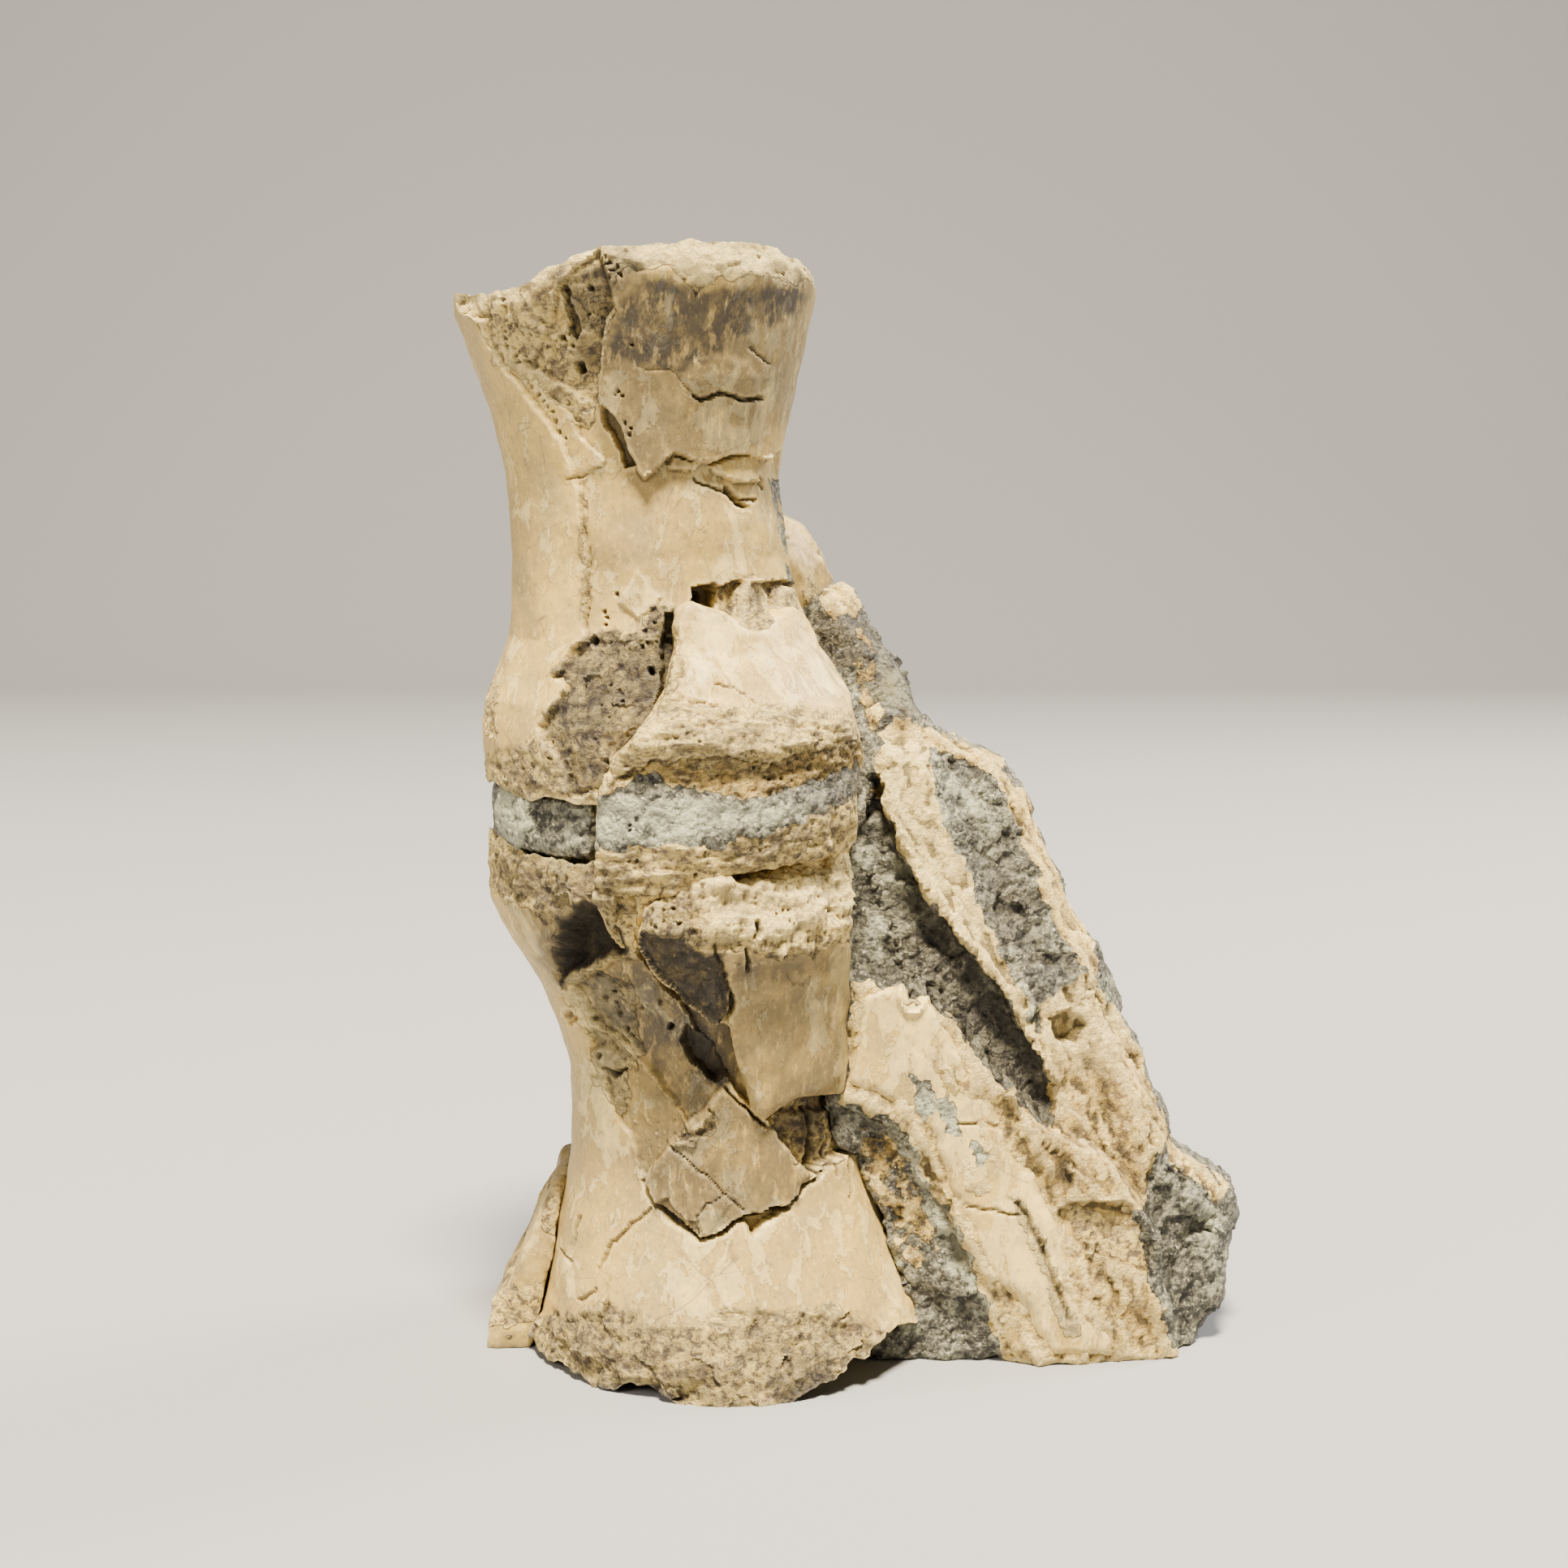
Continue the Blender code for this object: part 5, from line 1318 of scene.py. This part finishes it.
ROCK_MARKS = {
    "ledges": [(BAND, 0.5, 0.7), (UPPER_DARK, 0.4, 0.8),
               ([(1300, 1490), (1345, 1475), (1400, 1480), (1430, 1520), (1425, 1580), (1380, 1560),
                 (1335, 1545), (1310, 1520)], 1.6, 1.2),
               ([(1285, 1250), (1320, 1240), (1345, 1262), (1335, 1290), (1300, 1285)], 1.4, 1.0),
               ([(1068, 955), (1084, 950), (1088, 1010), (1066, 1018)], 2.5, 0.4)],
    "flakes": [([(1338, 1530), (1350, 1524), (1360, 1532), (1356, 1546), (1340, 1548)], 1.6, 0.5)],
    "rises": [([(1085, 940), (1100, 1000), (1125, 1072), (1175, 1140), (1240, 1222), (1272, 1290)],
               14.0, 0.6),
              ([(1240, 1340), (1275, 1400), (1300, 1460), (1320, 1510)], 14.0, 0.7), (RING, 5.0, 0.7)],
    "holes": [((1126, 1224), 8, 1.0)],
    "cracks": [([(1250, 1480), (1275, 1520), (1300, 1580), (1320, 1640)], 7.0, 0.8)],
    "broken": [([(1085, 895), (1140, 905), (1150, 960), (1160, 1020), (1185, 1060), (1200, 1110),
                 (1230, 1170), (1250, 1215), (1290, 1300), (1297, 1335), (1262, 1262), (1235, 1218),
                 (1195, 1168), (1160, 1128), (1120, 1072), (1100, 1015), (1075, 990)], 1.0, 8),
               ([(1280, 1235), (1345, 1200), (1400, 1290), (1440, 1400), (1420, 1440), (1400, 1500),
                 (1420, 1590), (1452, 1680), (1240, 1680), (1180, 1500), (1190, 1290), (1240, 1345),
                 (1300, 1392)], 1.0, 14),
               ([(1225, 950), (1265, 975), (1345, 1170), (1350, 1215), (1306, 1150), (1245, 1000)],
                0.95, 8),
               ([(1050, 745), (1080, 800), (1088, 900), (1066, 905), (1045, 800)], 0.4, 10),
               ([(1440, 1405), (1520, 1465), (1500, 1480), (1440, 1430)], 0.8, 8),
               ([(1050, 1205), (1170, 1250), (1200, 1300), (1230, 1400), (1230, 1560), (1160, 1480),
                 (1110, 1385), (1040, 1350)], 1.0, 8),
               ([(1050, 1375), (1110, 1400), (1140, 1470), (1170, 1560), (1120, 1560), (1060, 1440)],
                0.42, 20),
               ([(985, 600), (1035, 700), (1060, 750), (1030, 765), (980, 700)], 0.95, 14),
               ([(1100, 880), (1240, 935), (1225, 960), (1165, 918), (1140, 930), (1135, 985), (1100, 940)],
                0.9, 12)],
    # stain: the lower band is darkened, partly as its own dark colour and partly as painted shade
    "stain_and_shade": [([(1085, 1075), (1120, 1100), (1160, 1128), (1200, 1168), (1263, 1260), (1300, 1340),
                (1306, 1372), (1262, 1372), (1200, 1300), (1150, 1230), (1100, 1160)], 0.65, 40),
              ([(1195, 1000), (1245, 1030), (1300, 1160), (1330, 1200), (1320, 1238), (1250, 1210),
                (1210, 1110)], 0.5, 40),
              ([(1400, 1420), (1520, 1460), (1500, 1600), (1440, 1640), (1420, 1500)], 0.1, 30),
              ([(1040, 740), (1100, 790), (1140, 880), (1110, 910), (1060, 830)], 0.75, 20),
              ([(1000, 750), (1050, 756), (1060, 840), (1010, 810)], 0.75, 14),
              ([(1262, 1372), (1306, 1372), (1350, 1470), (1320, 1540), (1270, 1450)], 0.45, 30),
              ([(1280, 1300), (1345, 1240), (1440, 1400), (1400, 1500), (1420, 1590), (1440, 1680),
                (1360, 1680), (1330, 1500), (1290, 1400)], 0.2, 40),
              ([(1040, 1380), (1110, 1390), (1180, 1560), (1240, 1680), (1120, 1680), (1060, 1500)],
               0.1, 20),
              ([(1300, 1490), (1400, 1480), (1430, 1520), (1425, 1580), (1335, 1545)], 0.5, 20)],
    "pale": [([(1060, 770), (1090, 800), (1135, 870), (1128, 905), (1100, 900), (1085, 830)], 0.4, 20),
             # the tan ridge: pale, partly its own colour and partly painted light
             ([(1085, 895), (1140, 905), (1185, 1060), (1230, 1170), (1297, 1335), (1235, 1218),
               (1120, 1072)], 0.8, 14),
             ([(1145, 945), (1205, 950), (1240, 1020), (1215, 1050), (1165, 1005)], 0.7, 30),
             ([(1240, 1160), (1262, 1200), (1280, 1290), (1262, 1255)], 1.0, 8),
             ([(1040, 1000), (1120, 1060), (1150, 1130), (1100, 1190), (1040, 1190)], 0.3, 40),
             ([(1100, 1385), (1125, 1400), (1160, 1480), (1212, 1590), (1250, 1640), (1235, 1640),
               (1175, 1560), (1140, 1480)], 0.9, 8),
             ([(1275, 1235), (1345, 1200), (1395, 1290), (1340, 1330), (1290, 1300)], 0.5, 24),
             ([(1440, 1450), (1500, 1480), (1495, 1560), (1460, 1540)], 0.45, 20)],
}
count_marks("side rock", ROCK_MARKS)

# %% [markdown]
# Its crust follows the bedding, so its noise is stretched along the bands. The back is more uneven
# than the front, and a collar of rock stands up round the bone end.

# %% Make the side rock
KNOB_CENTRE, KNOB_RADII = np.array([-14.0, 29.0, 102.0]), np.array([12.5, 11.0, 14.0])
BEDDING = math.radians(28)  # from upright, running down to the right


def along_bedding(points):
    """The points' places across and along the bedding, with the length along it halved."""
    x, y, z = points.T
    across = x * math.cos(BEDDING) + z * math.sin(BEDDING)
    down = x * math.sin(BEDDING) - z * math.cos(BEDDING)
    return np.column_stack([across, y, down / 2])


def side_relief(points, shares):
    back = step(points[:, 1] - 12, 12)
    shares["rock"] = np.ones(len(points))
    weathered = 0.15 + 0.55 * step(lumps(points, 17.0, 109, 6) + 0.25, 0.8)
    deepen(shares, "broken", weathered * back)
    crusted = shares["broken"]
    corner = np.maximum(back, step(points[:, 0] - 26, 8))
    browned = crusted * step(lumps(points, 9.0, 115, 6) - 0.1, 0.3) * (0.12 + 0.5 * corner) + 0.2 * back
    deepen(shares, "stain_and_shade", browned)
    from_knob = 12.0 * (np.sqrt((((points - KNOB_CENTRE) / KNOB_RADII) ** 2).sum(1)) - 1)
    collar = 1.5 * np.exp(-(from_knob / 2.6) ** 2) * step(points[:, 1] - 24, 6)
    rugged = 0.6 * lumps(points, 6.0, 101, 5) + 0.7 * chips(points, 5.0, 103)
    rugged += 0.2 * ridges(points, 1.4, 104, 2)
    bedded = along_bedding(points)
    crust = 0.8 * lumps(bedded, 5.5, 107, 6) + 0.55 * chips(bedded, 3.4, 108)
    crust += 0.25 * ridges(bedded, 2.0, 109, 2)
    uneven = back * 1.5 * lumps(points, 16.0, 113, 3)
    return rugged * (1 - crusted) + crust * crusted + uneven + collar


side = fine_copy("side_block", ["side_rock", "flank_bone"], voxel=0.645, rounds=4, grow=0.40)
mark_copy(side, ROCK_MARKS, 600, side_relief, rock_finish, "rock", "side_rock")

# %% [markdown]
# ### Bone in the rock
# A smooth sheet of bone lies in the lower right of the block, with blue-grey spots of rock on it and
# a small ring at its top. Bone painted on the rock would have the rock's rough relief. So the sheet's
# own copy is sunk under the rock all over, and raised again only where the sheet is seen, and rock and
# bone meet in a ragged line.

# %% Flank bone's marks
BLUE_SPOTS = [[(1120, 1325), (1150, 1330), (1158, 1368), (1140, 1392), (1122, 1370)],
              [(1160, 1335), (1180, 1360), (1185, 1405), (1165, 1395), (1155, 1360)],
              [(1190, 1400), (1225, 1410), (1222, 1435), (1200, 1440)],
              [(1155, 1455), (1168, 1470), (1170, 1500), (1156, 1500)]]
FLANK_SEEN = [(1045, 1210), (1080, 1205), (1095, 1185), (1130, 1180), (1158, 1205), (1180, 1262),
              (1208, 1300), (1231, 1342), (1250, 1379), (1262, 1412), (1290, 1440), (1305, 1480),
              (1335, 1540), (1345, 1590), (1380, 1620), (1400, 1690), (1285, 1690), (1255, 1625),
              (1212, 1590), (1182, 1530), (1160, 1480), (1135, 1410), (1110, 1385), (1075, 1365),
              (1030, 1345)]
FLANK_FOLD = [(1245, 1470), (1262, 1480), (1300, 1570), (1330, 1640), (1312, 1650)]
FLANK_MARKS = {
    "flakes": [(FLANK_SEEN, 1.8, 3.0)],
    "rises": [(RING, 5.0, 0.6)],
    "holes": [((1126, 1224), 9, 0.9)],
    "cracks": [([(1115, 1275), (1140, 1300), (1160, 1330), (1168, 1350)], 2.5, 0.15),
               ([(1185, 1385), (1212, 1382), (1240, 1392), (1258, 1400)], 3.0, 0.5),
               ([(1190, 1485), (1220, 1492), (1255, 1497)], 3.0, 0.5),
               ([(1203, 1282), (1208, 1310), (1204, 1330)], 2.5, 0.2),
               ([(1254, 1484), (1265, 1500), (1285, 1540), (1300, 1580), (1318, 1625)], 5.0, 0.6)],
    "rock": [(spot, 0.75, 10) for spot in BLUE_SPOTS],
    # the seen sheet is paled partly for its cream colour and partly as painted light, as it leans back
    # towards the light
    "pale": [(spot, 1.0, 20) for spot in BLUE_SPOTS] + [(FLANK_SEEN, 0.6, 20)],
    "broken": [([(1112, 1200), (1138, 1200), (1140, 1240), (1114, 1245)], 0.7, 8),
               ([(1225, 1345), (1262, 1412), (1320, 1500), (1360, 1600), (1400, 1690), (1420, 1400),
                 (1300, 1350)], 0.8, 24),
               (FLANK_FOLD, 0.8, 8)],
    "stain_and_shade": [(FLANK_FOLD, 0.5, 12),
              ([(1112, 1202), (1136, 1202), (1138, 1240), (1116, 1244)], 0.6, 8),
              ([(1190, 1270), (1250, 1350), (1275, 1420), (1235, 1380), (1200, 1320)], 0.3, 20)],
}
count_marks("flank bone", FLANK_MARKS)


# %% Make the flank bone
def calm_relief(points, shares):
    """Sinks all but the marked sheet under the rock around it."""
    return 0.15 * lumps(points, 7.0, 121, 3) + 0.6 * spongy_relief(points, shares["broken"]) - 1.7


flank = fine_copy("flank_sheet", ["flank_bone"], voxel=0.4, rounds=4, grow=0.75)
mark_copy(flank, FLANK_MARKS, 700, calm_relief, bone_finish, "bone", "flank_bone")

# %% [markdown]
# ### The bone end and the rib
# A rounded bone end stands out behind the column at the top, and a thin rib at the foot's left. Both
# are worn and partly broken open. Outlines would be wasted on them, as little of either is seen, so
# noise alone says where. The end is a little smaller than its solid, so that the rock's collar closes
# round it.

# %% Bone end
KNOB_SCALE = np.array([0.90, 1.0, 0.94])


def weathered_relief(points, shares):
    """Worn, lumpy bone that is partly broken open."""
    deepen(shares, "broken", 0.9 * step(lumps(points, 8.0, 131, 5) - 0.05, 0.2))
    deepen(shares, "stain_and_shade", 0.5 * step(lumps(points, 7.0, 135) + 0.2, 0.5))
    return 0.4 * lumps(points, 6.0, 133) + 0.5 * spongy_relief(points, shares["broken"])


def knob_relief(points, shares):
    """As weathered, and much rougher at the back."""
    back = step(points[:, 1] - 26, 8)
    deepen(shares, "broken", 0.9 * back)
    deepen(shares, "stain_and_shade", 0.35)
    rough = 1.3 * lumps(points, 9.0, 141, 4) + 0.5 * chips(points, 5.0, 143)
    return weathered_relief(points, shares) + back * rough


end = fine_copy("end_knob", ["bone_end"], voxel=0.5, rounds=8, grow=0.0)
knob_points = points_of(end.data)
knob_foot = knob_points.min(0)
place_points(end.data, knob_foot + (knob_points - knob_foot) * KNOB_SCALE)
mark_copy(end, {}, 800, knob_relief, bone_finish, "bone", "bone_end")

# %% Rib
rib = fine_copy("rib_sheet", ["rib_slab"], voxel=0.4, rounds=5, grow=0.3)
mark_copy(rib, {}, 900, weathered_relief, bone_finish, "bone", "rib_slab")

# %% [markdown]
# ## Light and floor
# A large soft light overhead shows the shapes, because the upper faces turn bright and the overhangs
# dark. A sun lamp would do that too, but with hard shadows that hide the breaks. A weaker light from
# the front keeps the shadows readable, and one behind lights the outline. The floor is one sheet that
# curves up behind, so that no corner shows.

# %% Floor
bm = bmesh.new()
line = [bm.verts.new((-4, -3, 0)), bm.verts.new((-4, 1.6, 0))]
bm.edges.new(line)
bmesh.ops.spin(bm, geom=[line[1]], cent=(-4, 1.6, 0.8), axis=(1, 0, 0), angle=math.pi / 2, steps=24)
top = max(bm.verts, key=lambda vert: vert.co.z)
raised = bmesh.ops.extrude_vert_indiv(bm, verts=[top])["verts"][0]
raised.co.z = 3
across = bmesh.ops.extrude_edge_only(bm, edges=bm.edges[:])
bmesh.ops.translate(bm, verts=[made for made in across["geom"] if isinstance(made, bmesh.types.BMVert)],
                    vec=(8, 0, 0))
floor_mesh = bpy.data.meshes.new("floor")
bmesh.ops.recalc_face_normals(bm, faces=bm.faces)
bm.to_mesh(floor_mesh)
bm.free()
floor_mesh.shade_smooth()
floor = object_of("floor", floor_mesh)
floor_finish = bpy.data.materials.new("pale floor")
floor_finish.use_nodes = True
floor_shader = floor_finish.node_tree.nodes["Principled BSDF"]
floor_shader.inputs["Base Color"].default_value = (0.27, 0.28, 0.31, 1)
floor_shader.inputs["Roughness"].default_value = 0.9
floor_mesh.materials.append(floor_finish)
print("the floor has", len(floor_mesh.polygons), "faces")


# %% Lights
def soft_light(name, at, size, power, colour):
    made = bpy.data.lights.new(name, "AREA")
    made.shape, made.size, made.energy, made.color = "DISK", size, power, colour
    lamp = bpy.data.objects.new(name, made)
    bpy.context.scene.collection.objects.link(lamp)
    lamp.location = at
    lamp.rotation_euler = (Vector((0, 0, 0.07)) - Vector(at)).to_track_quat("-Z", "Y").to_euler()


soft_light("overhead", (0.03, -0.75, 2.30), 0.55, 375.0, (1.0, 0.865, 0.62))
soft_light("front", (-1.3, -1.2, 1.1), 0.8, 26.0, (1.0, 0.88, 0.68))
soft_light("rim", (0.9, 0.55, 0.95), 0.5, 34.0, (1.0, 0.93, 0.82))
world = bpy.data.worlds.new("studio")
world.use_nodes = True
backdrop = world.node_tree.nodes["Background"]
backdrop.inputs["Color"].default_value = (0.88, 0.87, 0.86, 1)
backdrop.inputs["Strength"].default_value = 0.12
bpy.context.scene.world = world
print("lights:", [light.name for light in bpy.data.lights])
